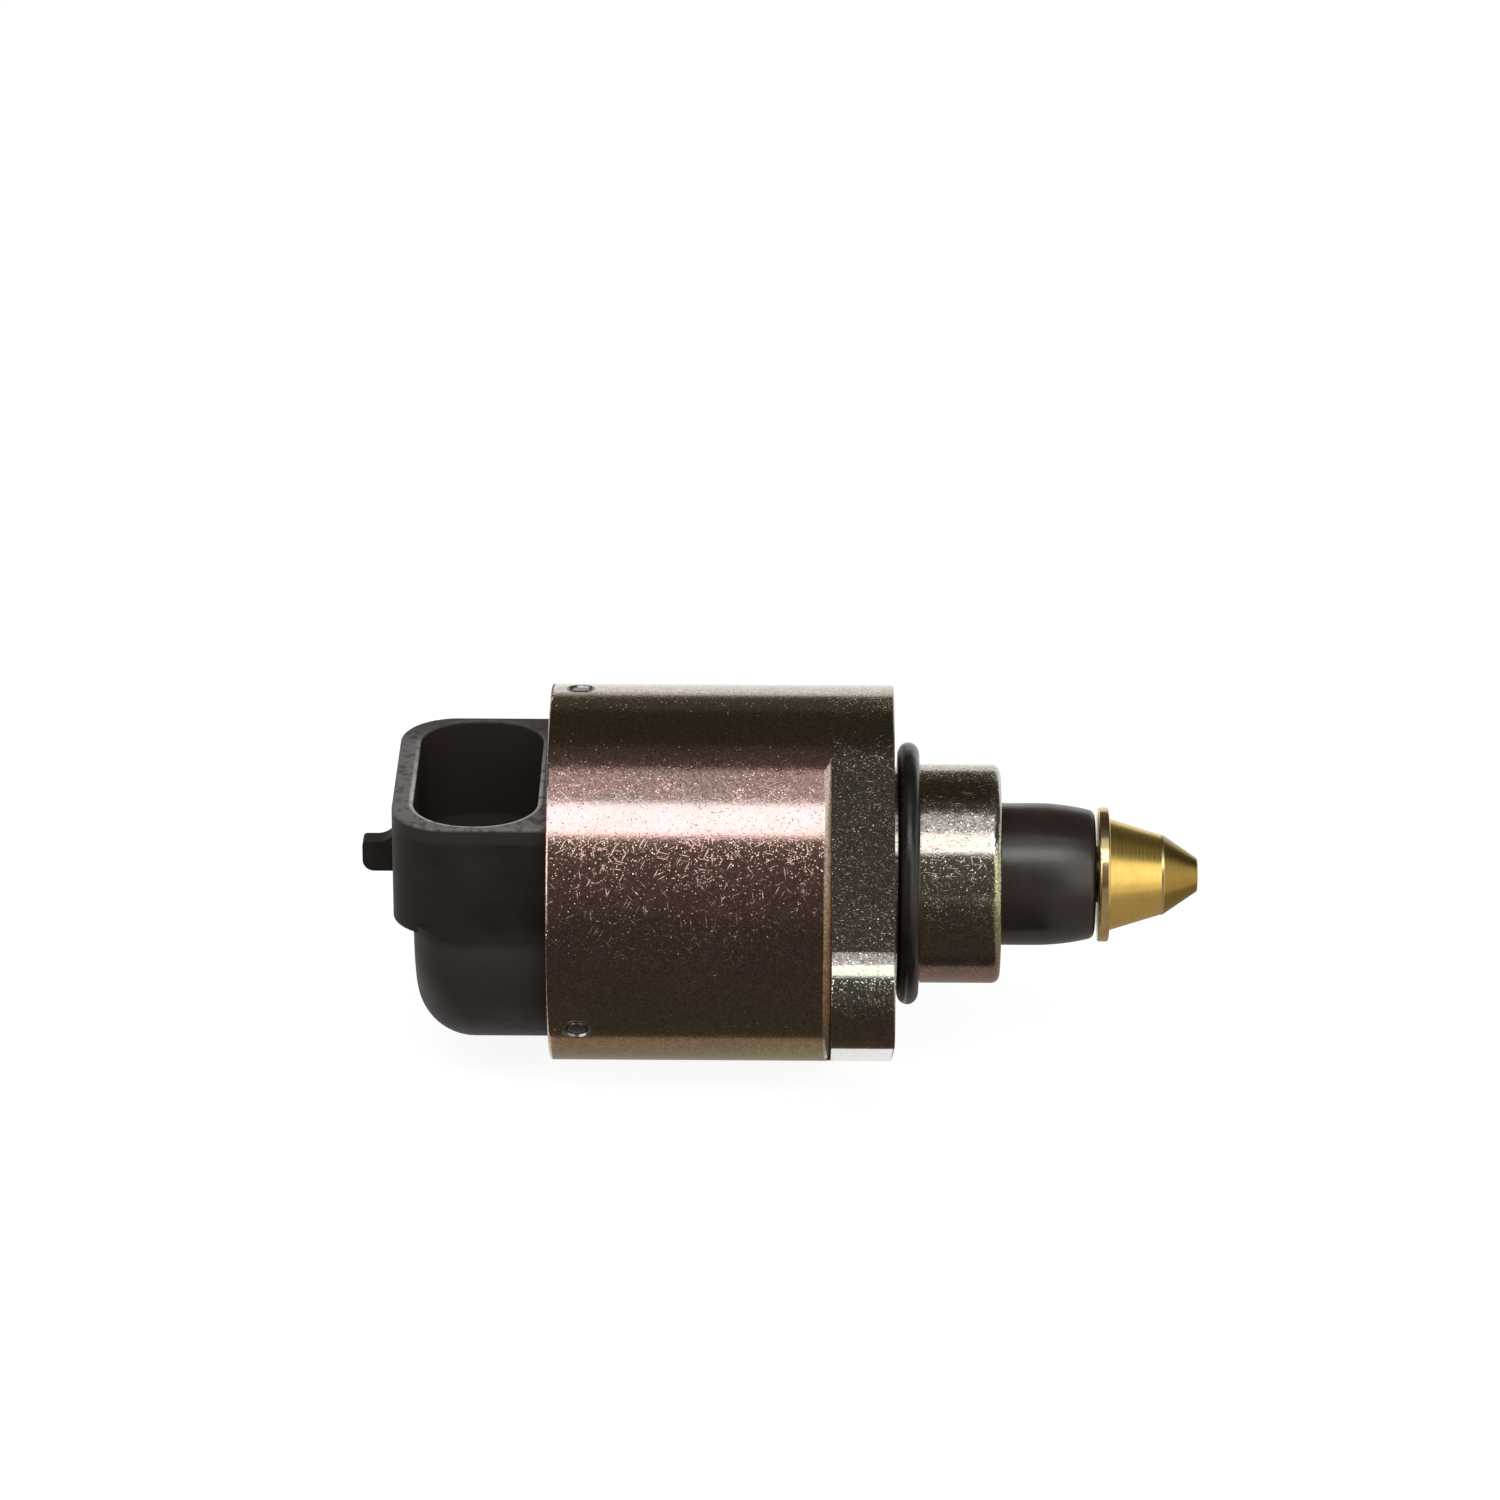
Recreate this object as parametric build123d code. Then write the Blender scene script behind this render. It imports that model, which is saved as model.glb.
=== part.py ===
from build123d import *

import os

# Idle air control valve: a claw-pole stepper motor in a plated steel body screws a brass pintle in and out.
# Millimetres. +X runs along the valve to the tip of the pintle, +Z is the way the connector opens, and the
# origin is the centre of the flange's mounting face. Turned outlines are written as (x, radius).

# Body, flange and nose
body_radius = 16.0
body_wall = 1.3
body_edge_radius = 0.25
shoulder_radius = 0.7
shoulder_run = 1.4
flange_thickness = 5.2
flange_edge = 0.12
screw_spacing = 46.0
ear_radius = 5.0
screw_hole_radius = 2.75
nose_radius = 9.3
nose_length = 9.1
nose_edge_radius = 0.7

# Punched stakes that hold the cap in the body, with angles about +X from +Z towards -Y
stake_radius = 1.1
stake_depth = 0.4
stake_pad_radius = 0.7
stake_pad_drop = 0.15
stake_inset = 2.5
stake_bite = 0.5
stake_bump_radius = 0.9
stake_groove_play = 0.25
stake_angles = (-10.0, 122.0, 236.0)

# Mounting seal on the nose
seal_height = 2.1
seal_width = 1.86
seal_stand_off = 0.35
seal_squeeze = 0.05
seal_groove_depth = 0.2
seal_play = 0.12

# Stator with two phases of two claw-pole plates each
pole_plate = 0.9
bobbin_length = 8.0
bobbin_wall = 0.8
bobbin_edge_gap = 0.5
coil_inset = 0.8
claw_count = 6
claw_thickness = 0.7
claw_root_width = 3.0
claw_tip_width = 1.7
claw_tip_gap = 1.2
air_gap = 0.35

# Rotor
magnet_radius = 6.8
magnet_wall = 2.0
magnet_end_gap = 0.8
journal_radius = 4.0
nut_length = 8.0
nut_wall = 1.0
nut_inset = 0.8

# Front ball bearing
bearing_radius = 8.0
bearing_width = 4.0
bearing_backing = 0.2
race_wall = 1.1
ball_count = 7
cage_width = 0.9
cage_back = 0.7
cage_cover = 0.45

# Rear bush and spring washer
bush_wall = 2.2
bush_length = 3.0
spring_washer_thickness = 0.25
spring_washer_width = 1.6

# Guide sleeve, lead screw and pintle
guide_radius = 6.05
guide_tip_radius = 5.38
guide_reach = 17.15
guide_straight = 3.0
guide_tip_rounding = 0.65
guide_lip = 1.5
guide_lip_thickness = 1.5
screw_radius = 2.5
screw_flat = 2.0
spigot_radius = 1.6
spigot_length = 4.6
travel = 8.0
retract_stop = 0.25
washer_radius = 5.72
washer_thickness = 0.95
washer_edge = 0.2
pintle_base_radius = 4.78
pintle_neck_radius = 3.42
pintle_tip_radius = 1.4
pintle_base_taper = 4.4
pintle_land = 0.2
pintle_tip_taper = 2.95
pintle_tip_edge = 0.25

# Connector cap
plug_length = 5.2
cap_seal_width = 1.2
cap_seal_height = 1.3
base_step = 0.65
base_reach = 11.3
base_end_radius = 4.9
tower_reach = 13.1
tower_width = 23.7
tower_top = 9.15
tower_sill = 0.7
tower_corner_radius = 4.8
rim_outer_edge = 0.25
rim_inner_edge = 0.2
socket_back_wall = 1.75
socket_side_wall = 0.65
socket_front_wall = 0.85
socket_floor = 0.4
socket_keyed_corner = 5.0
socket_plain_corner = 4.5
well_depth = 7.4
well_back_ledge = 0.7
well_front_ledge = 0.15
well_width = 16.0
well_corner = 1.5
nub_reach = 2.95
nub_width = 2.0
nub_bottom = 0.4
nub_height = 2.65
nub_root_radius = 1.7
nub_toe_radius = 1.0
nub_brow_radius = 0.35

# Terminals
terminal_count = 4
terminal_pitch = 4.0
terminal_width = 1.5
terminal_thickness = 0.64
terminal_tip = 0.8
terminal_taper = 0.24
terminal_seal_gap = 0.5
terminal_window = 0.4

# Clearances
seat_clearance = 0.02
stator_clearance = 0.05
bobbin_clearance = 0.15
coil_clearance = 0.05
running_clearance = 0.05
thread_clearance = 0.08
slide_clearance = 0.08
ball_clearance = 0.04
hub_bore_clearance = 0.4
end_play = 0.3
washer_play = 0.1
screw_margin = 0.5

# Stations along the axis, from the mounting face back to the rear of the cap
front_wall = bearing_width + bearing_backing
stack_length = bobbin_length + 2 * pole_plate
bearing_front = -bearing_backing
inner_race_front = bearing_front - running_clearance
stator_front = -front_wall
stator_middle = stator_front - stack_length
plug_front = stator_middle - stack_length
body_rear = plug_front - plug_length
stake_x = body_rear + stake_inset
cap_seal_rear = plug_front - cap_seal_width
base_rear = body_rear - base_reach
tower_rear = body_rear - tower_reach
magnet_front = stator_front - magnet_end_gap
magnet_rear = plug_front + magnet_end_gap
nut_front = stator_front - nut_inset
nut_rear = nut_front - nut_length
bush_rear = plug_front - bush_length
washer_rear = guide_reach + retract_stop
washer_front = washer_rear + washer_thickness

# Radii that follow from the driving dimensions
bore_radius = body_radius - body_wall
stator_radius = bore_radius - stator_clearance
claw_inner = magnet_radius + air_gap
claw_outer = claw_inner + claw_thickness
bobbin_inner = claw_outer + bobbin_clearance
bobbin_tube = bobbin_inner + bobbin_wall
bobbin_flange = bore_radius - bobbin_edge_gap
coil_inner = bobbin_tube + coil_clearance
coil_outer = bobbin_flange - coil_inset
magnet_bore = magnet_radius - magnet_wall
hub_radius = magnet_bore - seat_clearance
hub_bore = screw_radius + hub_bore_clearance
nut_bore = screw_radius + thread_clearance
nut_radius = nut_bore + nut_wall
inner_race_radius = journal_radius + race_wall
outer_race_radius = bearing_radius - race_wall
ball_pitch_radius = (inner_race_radius + outer_race_radius) / 2
ball_radius = (outer_race_radius - inner_race_radius) / 2 - ball_clearance
bush_bore = journal_radius + running_clearance
bush_radius = bush_bore + bush_wall
seal_seat_radius = nose_radius - seal_groove_depth
seal_ring_radius = seal_seat_radius + seal_height / 2 - seal_squeeze
seal_groove_front = seal_stand_off + seal_width + seal_play
plug_radius = bore_radius - stator_clearance
base_radius = plug_radius - base_step
cap_seal_inner = plug_radius - cap_seal_height
stake_groove_radius = bore_radius - stake_bite - stator_clearance
terminal_reach = (terminal_count - 1) * terminal_pitch / 2 + terminal_width / 2
terminal_leg_radius = cap_seal_inner - terminal_seal_gap
terminal_drop = (terminal_leg_radius**2 - terminal_reach**2) ** 0.5 - terminal_thickness / 2
socket_length = tower_reach - socket_back_wall - socket_front_wall
socket_middle = body_rear - socket_front_wall - socket_length / 2
well_length = socket_length - well_back_ledge - well_front_ledge
well_middle = body_rear - socket_front_wall - well_front_ledge - well_length / 2


def across(x):
    """Plane square to the axis at x, with its own x along Y and its own y along Z."""
    return Plane(origin=(x, 0, 0), x_dir=(0, 1, 0), z_dir=(1, 0, 0))


def turned(*corners, rounds=()):
    """Solid of revolution about X from its outline's corners, some of them rounded."""
    outline = Polygon(*corners, align=None)
    for corner, radius in rounds:
        vertex = outline.vertices().sort_by_distance((*corner, 0))[0]
        outline = fillet(vertex, radius)
    return revolve(outline, Axis.X)


def ring(x_rear, x_front, inner, outer):
    """Plain ring about X."""
    return turned((x_rear, inner), (x_front, inner), (x_front, outer), (x_rear, outer))


def rod(x_rear, x_front, radius):
    """Plain round bar about X."""
    return turned((x_rear, 0), (x_front, 0), (x_front, radius), (x_rear, radius))


def block(x, y, z):
    """Box between pairs of limits along each axis."""
    size = [high - low for low, high in (x, y, z)]
    middle = [(low + high) / 2 for low, high in (x, y, z)]
    return Pos(*middle) * Box(*size)


def double_flat(x_rear, x_front, radius, flat):
    """Round bar about X with two flats, square to Z."""
    side = 2 * radius
    return rod(x_rear, x_front, radius) & block((x_rear, x_front), (-side, side), (-flat, flat))


def spoke(angle, radius, start, end):
    """Round bar of a radius that points outwards from the axis at a stake's place."""
    upright = Pos(stake_x, 0, start) * Cylinder(
        radius, end - start, align=(Align.CENTER, Align.CENTER, Align.MIN)
    )
    return Rot(angle, 0, 0) * upright


def flange_plate():
    """Flange with two ears, whose straight sides are tangent to the barrel and to the ears."""
    circles = Circle(body_radius).edges()
    for side in (-1, 1):
        circles += (Pos(side * screw_spacing / 2, 0) * Circle(ear_radius)).edges()
    plate = extrude(across(-flange_thickness) * make_hull(circles), flange_thickness, dir=(1, 0, 0))
    return chamfer(plate.faces().sort_by(Axis.X)[-1].edges(), flange_edge)


def shoulder_fill():
    """Stretch of barrel between the ears, where the barrel runs into the flange with no step."""
    tangent = body_radius * (body_radius - ear_radius) / (screw_spacing / 2)
    front = -flange_thickness
    rear = front - shoulder_radius
    wide = tangent + shoulder_run
    outline = Polygon((front, -tangent), (front, tangent), (rear, wide), (rear, -wide), align=None)
    wedge = extrude(outline, body_radius, both=True)
    return wedge & rod(rear, front, body_radius)


def make_housing():
    """Plated body, flange and nose in one piece, with its stepped bore, screw holes and stakes."""
    barrel = turned(
        (body_rear, 0),
        (-flange_thickness, 0),
        (-flange_thickness, body_radius),
        (body_rear, body_radius),
        rounds=(
            ((-flange_thickness, body_radius), shoulder_radius),
            ((body_rear, body_radius), body_edge_radius),
        ),
    )
    nose = turned(
        (-flange_thickness, 0),
        (nose_length, 0),
        (nose_length, nose_radius),
        (seal_groove_front, nose_radius),
        (seal_groove_front, seal_seat_radius),
        (-flange_thickness, seal_seat_radius),
        rounds=(((nose_length, nose_radius), nose_edge_radius),),
    )
    lip_front = bearing_front + guide_lip_thickness
    bearing_seat = bearing_radius + seat_clearance
    lip_pocket = guide_radius + guide_lip + seat_clearance
    guide_bore = guide_radius + seat_clearance
    bore = turned(
        (body_rear, 0),
        (nose_length, 0),
        (nose_length, guide_bore),
        (lip_front, guide_bore),
        (lip_front, lip_pocket),
        (bearing_front, lip_pocket),
        (bearing_front, bearing_seat),
        (stator_front, bearing_seat),
        (stator_front, bore_radius),
        (body_rear, bore_radius),
    )
    housing = barrel + shoulder_fill() + flange_plate() + nose - bore
    for side in (-1, 1):
        hole = rod(-flange_thickness, 0, screw_hole_radius)
        housing -= Pos(0, side * screw_spacing / 2, 0) * hole
    for angle in stake_angles:
        floor = body_radius - stake_depth
        housing -= spoke(angle, stake_radius, floor, body_radius + stake_depth)
        housing += spoke(angle, stake_pad_radius, floor, body_radius - stake_pad_drop)
        housing += spoke(angle, stake_bump_radius, bore_radius - stake_bite, floor)
    return housing


def make_mount_seal():
    """Oval-section rubber ring, stretched on the nose so that its inside is pressed flat."""
    middle = seal_stand_off + seal_width / 2
    section = Pos(middle, seal_ring_radius) * Ellipse(seal_width / 2, seal_height / 2)
    relaxed = revolve(section, Axis.X)
    return relaxed - rod(0, seal_groove_front, seal_seat_radius)


def make_tower():
    """Connector tower above the ledge, with its keyed socket and rounded rim."""
    plan = Pos((tower_rear + body_rear) / 2, 0) * Rectangle(tower_reach, tower_width)
    plan = fillet(plan.vertices().group_by(Axis.X)[0], tower_corner_radius)
    tower = extrude(Pos(0, 0, -tower_sill) * plan, tower_top + tower_sill)
    outer_rim = tower.faces().sort_by(Axis.Z)[-1].edges().sort_by(Axis.X)[:-1]
    tower = fillet(outer_rim, rim_outer_edge)
    socket = Pos(socket_middle, 0) * Rectangle(socket_length, tower_width - 2 * socket_side_wall)
    socket = fillet(socket.vertices().group_by(Axis.Y)[0], socket_keyed_corner)
    socket = fillet(socket.vertices().group_by(Axis.Y)[-1], socket_plain_corner)
    hollow = extrude(Pos(0, 0, socket_floor) * socket, tower_top - socket_floor)
    tower -= hollow
    mouth = tower.faces().sort_by(Axis.Z)[-1].inner_wires()[0].edges()
    return fillet(mouth, rim_inner_edge)


def make_well():
    """Deeper middle of the socket, where the terminals stand below the line of the ledge."""
    plan = Pos(well_middle, 0) * Rectangle(well_length, well_width)
    plan = fillet(plan.vertices(), well_corner)
    return extrude(Pos(0, 0, socket_floor - well_depth) * plan, well_depth)


def make_nub():
    """Lock nub on the back of the tower, with a hollow root above and a round toe below."""
    top = nub_bottom + nub_height
    heel = tower_rear + socket_back_wall / 2
    tip = tower_rear - nub_reach
    root = top + 2 * nub_root_radius
    outline = Polygon(
        (heel, nub_bottom),
        (heel, root),
        (tower_rear, root),
        (tower_rear, top),
        (tip, top),
        (tip, nub_bottom),
        align=None,
    )
    for corner, radius in (
        ((tower_rear, top), nub_root_radius),
        ((tip, top), nub_brow_radius),
        ((tip, nub_bottom), nub_toe_radius),
    ):
        vertex = outline.vertices().sort_by_distance((*corner, 0))[0]
        outline = fillet(vertex, radius)
    return extrude(Plane.XZ * outline, nub_width / 2, both=True)


def make_terminal(y):
    """Flat blade that stands in the socket, bends under its floor and runs forward to the coils."""
    half_thick = terminal_thickness / 2
    low = -terminal_drop - half_thick
    width = (y - terminal_width / 2, y + terminal_width / 2)
    blade = block((well_middle - half_thick, well_middle + half_thick), width, (low, terminal_tip))
    blade = chamfer(blade.faces().sort_by(Axis.Z)[-1].edges(), terminal_taper)
    leg_end = plug_front + pole_plate
    leg = block((well_middle - half_thick, leg_end), width, (low, low + terminal_thickness))
    return blade + leg


def make_connector_cap(terminals):
    """Moulded cap: plug in the body, half-round base with a ledge on top, tower, nub and socket."""
    groove = stake_bump_radius + stake_groove_play
    plug = turned(
        (body_rear, 0),
        (plug_front, 0),
        (plug_front, cap_seal_inner),
        (cap_seal_rear, cap_seal_inner),
        (cap_seal_rear, plug_radius),
        (stake_x + groove, plug_radius),
        (stake_x + groove, stake_groove_radius),
        (stake_x - groove, stake_groove_radius),
        (stake_x - groove, plug_radius),
        (body_rear, plug_radius),
    )
    base = turned(
        (base_rear, 0),
        (body_rear, 0),
        (body_rear, base_radius),
        (base_rear, base_radius),
        rounds=(((base_rear, base_radius), base_end_radius),),
    )
    lower_base = split(base, bisect_by=Plane.XY, keep=Keep.BOTTOM)
    bush_pocket = rod(bush_rear, plug_front, bush_radius + seat_clearance)
    cap = plug + lower_base + make_tower() + make_nub() - make_well() - bush_pocket
    for terminal in terminals:
        cap -= terminal
    return cap


def make_pole(face, way, turn):
    """Claw-pole plate with its claws on the side that way points to, turned about the axis."""
    back = face - way * pole_plate
    plate = ring(min(face, back), max(face, back), claw_inner, stator_radius)
    reach = face + way * (bobbin_length - claw_tip_gap)
    root = claw_root_width / 2
    tip = claw_tip_width / 2
    shape = Polygon((face, -root), (reach, -tip), (reach, tip), (face, root), align=None)
    shape = extrude(Pos(0, 0, claw_inner / 2) * shape, claw_outer, dir=(0, 0, 1))
    tube = ring(min(face, reach), max(face, reach), claw_inner, claw_outer)
    claw = shape & tube
    for number in range(claw_count):
        plate += Rot(turn + number * 360 / claw_count, 0, 0) * claw
    return plate


def make_rear_outer_pole(face, way, turn):
    """Rearmost plate, with a window that lets the terminals through to the bobbins."""
    reach = terminal_reach + terminal_window
    depth = terminal_thickness / 2 + terminal_window
    window = block(
        (face - pole_plate, face), (-reach, reach), (-terminal_drop - depth, -terminal_drop + depth)
    )
    return make_pole(face, way, turn) - window


def make_bobbin(rear):
    """Moulded spool between the two plates of one phase."""
    front = rear + bobbin_length
    return turned(
        (rear, bobbin_inner),
        (front, bobbin_inner),
        (front, bobbin_flange),
        (front - bobbin_wall, bobbin_flange),
        (front - bobbin_wall, bobbin_tube),
        (rear + bobbin_wall, bobbin_tube),
        (rear + bobbin_wall, bobbin_flange),
        (rear, bobbin_flange),
    )


def make_coil(rear):
    """Winding that fills one bobbin."""
    inset = bobbin_wall + coil_clearance
    return ring(rear + inset, rear + bobbin_length - inset, coil_inner, coil_outer)


def make_rotor_hub():
    """Moulded core of the rotor, with a journal at each end and a pocket for the nut."""
    front = bearing_front - end_play
    rear = bush_rear + end_play
    outside = turned(
        (rear, 0),
        (front, 0),
        (front, journal_radius),
        (stator_front, journal_radius),
        (stator_front, hub_radius),
        (magnet_rear, hub_radius),
        (magnet_rear, journal_radius),
        (rear, journal_radius),
    )
    return outside - rod(rear, front, hub_bore) - rod(nut_rear, nut_front, nut_radius)


def make_balls():
    """Balls of the front bearing, in a ring."""
    middle = (stator_front + bearing_front) / 2
    ball = Pos(middle, 0, ball_pitch_radius) * Sphere(ball_radius)
    return [Rot(number * 360 / ball_count, 0, 0) * ball for number in range(ball_count)]


def make_cage():
    """Crown cage: a ring behind the balls with a round pocket for each."""
    middle = (stator_front + bearing_front) / 2
    pocket_radius = ball_radius + ball_clearance
    inner = ball_pitch_radius - cage_width / 2
    cage = ring(middle - pocket_radius - cage_back, middle - cage_cover, inner, inner + cage_width)
    pocket = Pos(middle, 0, ball_pitch_radius) * Sphere(pocket_radius)
    for number in range(ball_count):
        cage -= Rot(number * 360 / ball_count, 0, 0) * pocket
    return cage


def make_preload_washer():
    """Conical spring washer between the rear bush and the rotor."""
    inner = journal_radius + 2 * washer_play
    outer = inner + spring_washer_width
    crest = magnet_rear - washer_play
    return turned(
        (plug_front, outer),
        (plug_front + spring_washer_thickness, outer),
        (crest, inner),
        (crest - spring_washer_thickness, inner),
    )


def make_guide_sleeve():
    """Moulded sleeve with a lip behind the nose, a gently tapered snout and a bore with two flats."""
    lip_front = bearing_front + guide_lip_thickness
    taper_start = nose_length + guide_straight
    edges = Polyline(
        (guide_reach, guide_tip_radius),
        (guide_reach, 0),
        (bearing_front, 0),
        (bearing_front, guide_radius + guide_lip),
        (lip_front, guide_radius + guide_lip),
        (lip_front, guide_radius),
        (taper_start, guide_radius),
    )
    taper = TangentArc((taper_start, guide_radius), (guide_reach, guide_tip_radius), tangent=(1, 0))
    outline = make_face(edges.edges() + taper.edges())
    corner = outline.vertices().sort_by_distance((guide_reach, guide_tip_radius, 0))[0]
    sleeve = revolve(fillet(corner, guide_tip_rounding), Axis.X)
    bore = screw_radius + slide_clearance
    return sleeve - double_flat(bearing_front, guide_reach, bore, screw_flat + slide_clearance)


def make_lead_screw():
    """Screw shaft: round where it runs in the nut, with two flats in the guide and a spigot in front."""
    tail = nut_rear - travel - screw_margin
    flats = bearing_front - travel - slide_clearance
    shaft = rod(tail, flats, screw_radius)
    shaft += double_flat(flats, washer_rear, screw_radius, screw_flat)
    return shaft + rod(washer_rear, washer_rear + spigot_length, spigot_radius)


def make_pintle_washer():
    """Thin washer behind the cone, with rounded edges."""
    bore = spigot_radius + seat_clearance
    return turned(
        (washer_rear, bore),
        (washer_front, bore),
        (washer_front, washer_radius),
        (washer_rear, washer_radius),
        rounds=(
            ((washer_front, washer_radius), washer_edge),
            ((washer_rear, washer_radius), washer_edge),
        ),
    )


def make_pintle():
    """Turned cone with two tapers and a narrow land between them, bored for the spigot."""
    land_rear = washer_front + pintle_base_taper
    land_front = land_rear + pintle_land
    tip = land_front + pintle_tip_taper
    cone = turned(
        (washer_front, 0),
        (tip, 0),
        (tip, pintle_tip_radius),
        (land_front, pintle_neck_radius),
        (land_rear, pintle_neck_radius),
        (washer_front, pintle_base_radius),
        rounds=(((tip, pintle_tip_radius), pintle_tip_edge),),
    )
    spigot_end = washer_rear + spigot_length
    return cone - rod(washer_front, spigot_end, spigot_radius + seat_clearance)


def make_nodes():
    """Every piece of the valve by its node's name."""
    first = -(terminal_count - 1) * terminal_pitch / 2
    terminals = [make_terminal(first + number * terminal_pitch) for number in range(terminal_count)]
    half_pitch = 180 / claw_count
    phase_shift = half_pitch / 2
    front_faces = (stator_front - pole_plate, stator_middle + pole_plate)
    rear_faces = (stator_middle - pole_plate, plug_front + pole_plate)
    nodes = {
        "housing": make_housing(),
        "connector_cap": make_connector_cap(terminals),
        "cap_seal": ring(cap_seal_rear, plug_front, cap_seal_inner, plug_radius),
        "mount_seal": make_mount_seal(),
        "front_outer_pole": make_pole(front_faces[0], -1, 0),
        "front_bobbin": make_bobbin(front_faces[1]),
        "front_coil": make_coil(front_faces[1]),
        "front_inner_pole": make_pole(front_faces[1], 1, half_pitch),
        "rear_inner_pole": make_pole(rear_faces[0], -1, phase_shift),
        "rear_bobbin": make_bobbin(rear_faces[1]),
        "rear_coil": make_coil(rear_faces[1]),
        "rear_outer_pole": make_rear_outer_pole(rear_faces[1], 1, half_pitch + phase_shift),
        "rotor_magnet": ring(magnet_rear, magnet_front, magnet_bore, magnet_radius),
        "rotor_hub": make_rotor_hub(),
        "screw_nut": ring(nut_rear, nut_front, nut_bore, nut_radius - seat_clearance),
        "bearing_outer_race": ring(stator_front, bearing_front, outer_race_radius, bearing_radius),
        "bearing_inner_race": ring(stator_front, inner_race_front, journal_radius, inner_race_radius),
        "bearing_balls": Compound(children=make_balls()),
        "bearing_cage": make_cage(),
        "rear_bush": ring(bush_rear, plug_front, bush_bore, bush_radius),
        "preload_washer": make_preload_washer(),
        "guide_sleeve": make_guide_sleeve(),
        "lead_screw": make_lead_screw(),
        "pintle_washer": make_pintle_washer(),
        "pintle": make_pintle(),
    }
    for number, terminal in enumerate(terminals, 1):
        nodes[f"terminal_{number}"] = terminal
    return nodes


os.makedirs("parts", exist_ok=True)
for name, shape in make_nodes().items():
    export_step(shape, f"parts/{name}.step")
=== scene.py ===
"""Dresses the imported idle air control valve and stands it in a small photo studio.

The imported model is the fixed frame, in metres: +X runs to the pintle's tip, +Z is the way the connector
opens, and the origin is the centre of the flange's mounting face.
"""

import logging
import math
from contextlib import contextmanager
from dataclasses import dataclass, field
from enum import Enum
from functools import partial, reduce
from typing import Callable, Iterable, Iterator, Optional, Union

import bpy
from mathutils import Matrix, Vector


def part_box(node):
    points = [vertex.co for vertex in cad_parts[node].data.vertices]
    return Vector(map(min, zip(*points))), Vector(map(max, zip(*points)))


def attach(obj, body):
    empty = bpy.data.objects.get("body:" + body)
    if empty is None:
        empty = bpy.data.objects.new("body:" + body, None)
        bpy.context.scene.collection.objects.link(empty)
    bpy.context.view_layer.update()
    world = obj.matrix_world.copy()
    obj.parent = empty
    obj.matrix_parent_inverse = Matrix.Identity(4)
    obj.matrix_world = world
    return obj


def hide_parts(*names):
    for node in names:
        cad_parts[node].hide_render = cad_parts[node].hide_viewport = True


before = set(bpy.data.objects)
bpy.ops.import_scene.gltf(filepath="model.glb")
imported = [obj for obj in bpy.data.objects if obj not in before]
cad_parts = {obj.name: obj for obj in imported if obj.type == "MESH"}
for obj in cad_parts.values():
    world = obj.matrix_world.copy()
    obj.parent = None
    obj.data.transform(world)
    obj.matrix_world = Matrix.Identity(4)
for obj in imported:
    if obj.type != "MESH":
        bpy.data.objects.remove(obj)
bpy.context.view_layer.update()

LOG = logging.getLogger("valve")
MM = 0.001
# Usual lowest and highest value of a noise.
CLOUDY = (0.3, 0.7)
# Least part of a face's normal along an axis for the face to count as an end.
END_FACE = 0.9
# Distances within which a cut snaps to a point, and doubles are merged.
CUT_SNAP = 0.0001 * MM
MERGE_SNAP = 0.0005 * MM
BEVEL_SEGMENTS = 2

Node = bpy.types.Node
Socket = bpy.types.NodeSocket
Entry = bpy.types.bpy_prop_collection
Piece = bpy.types.Object
Colour = tuple[float, float, float]
Feed = Union[Socket, float, tuple]
Inputs = dict[Union[str, int], Feed]
# Two ends of a span, and after them, where they aren't 0 and 1, what these become.
Band = tuple[float, ...]


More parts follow.
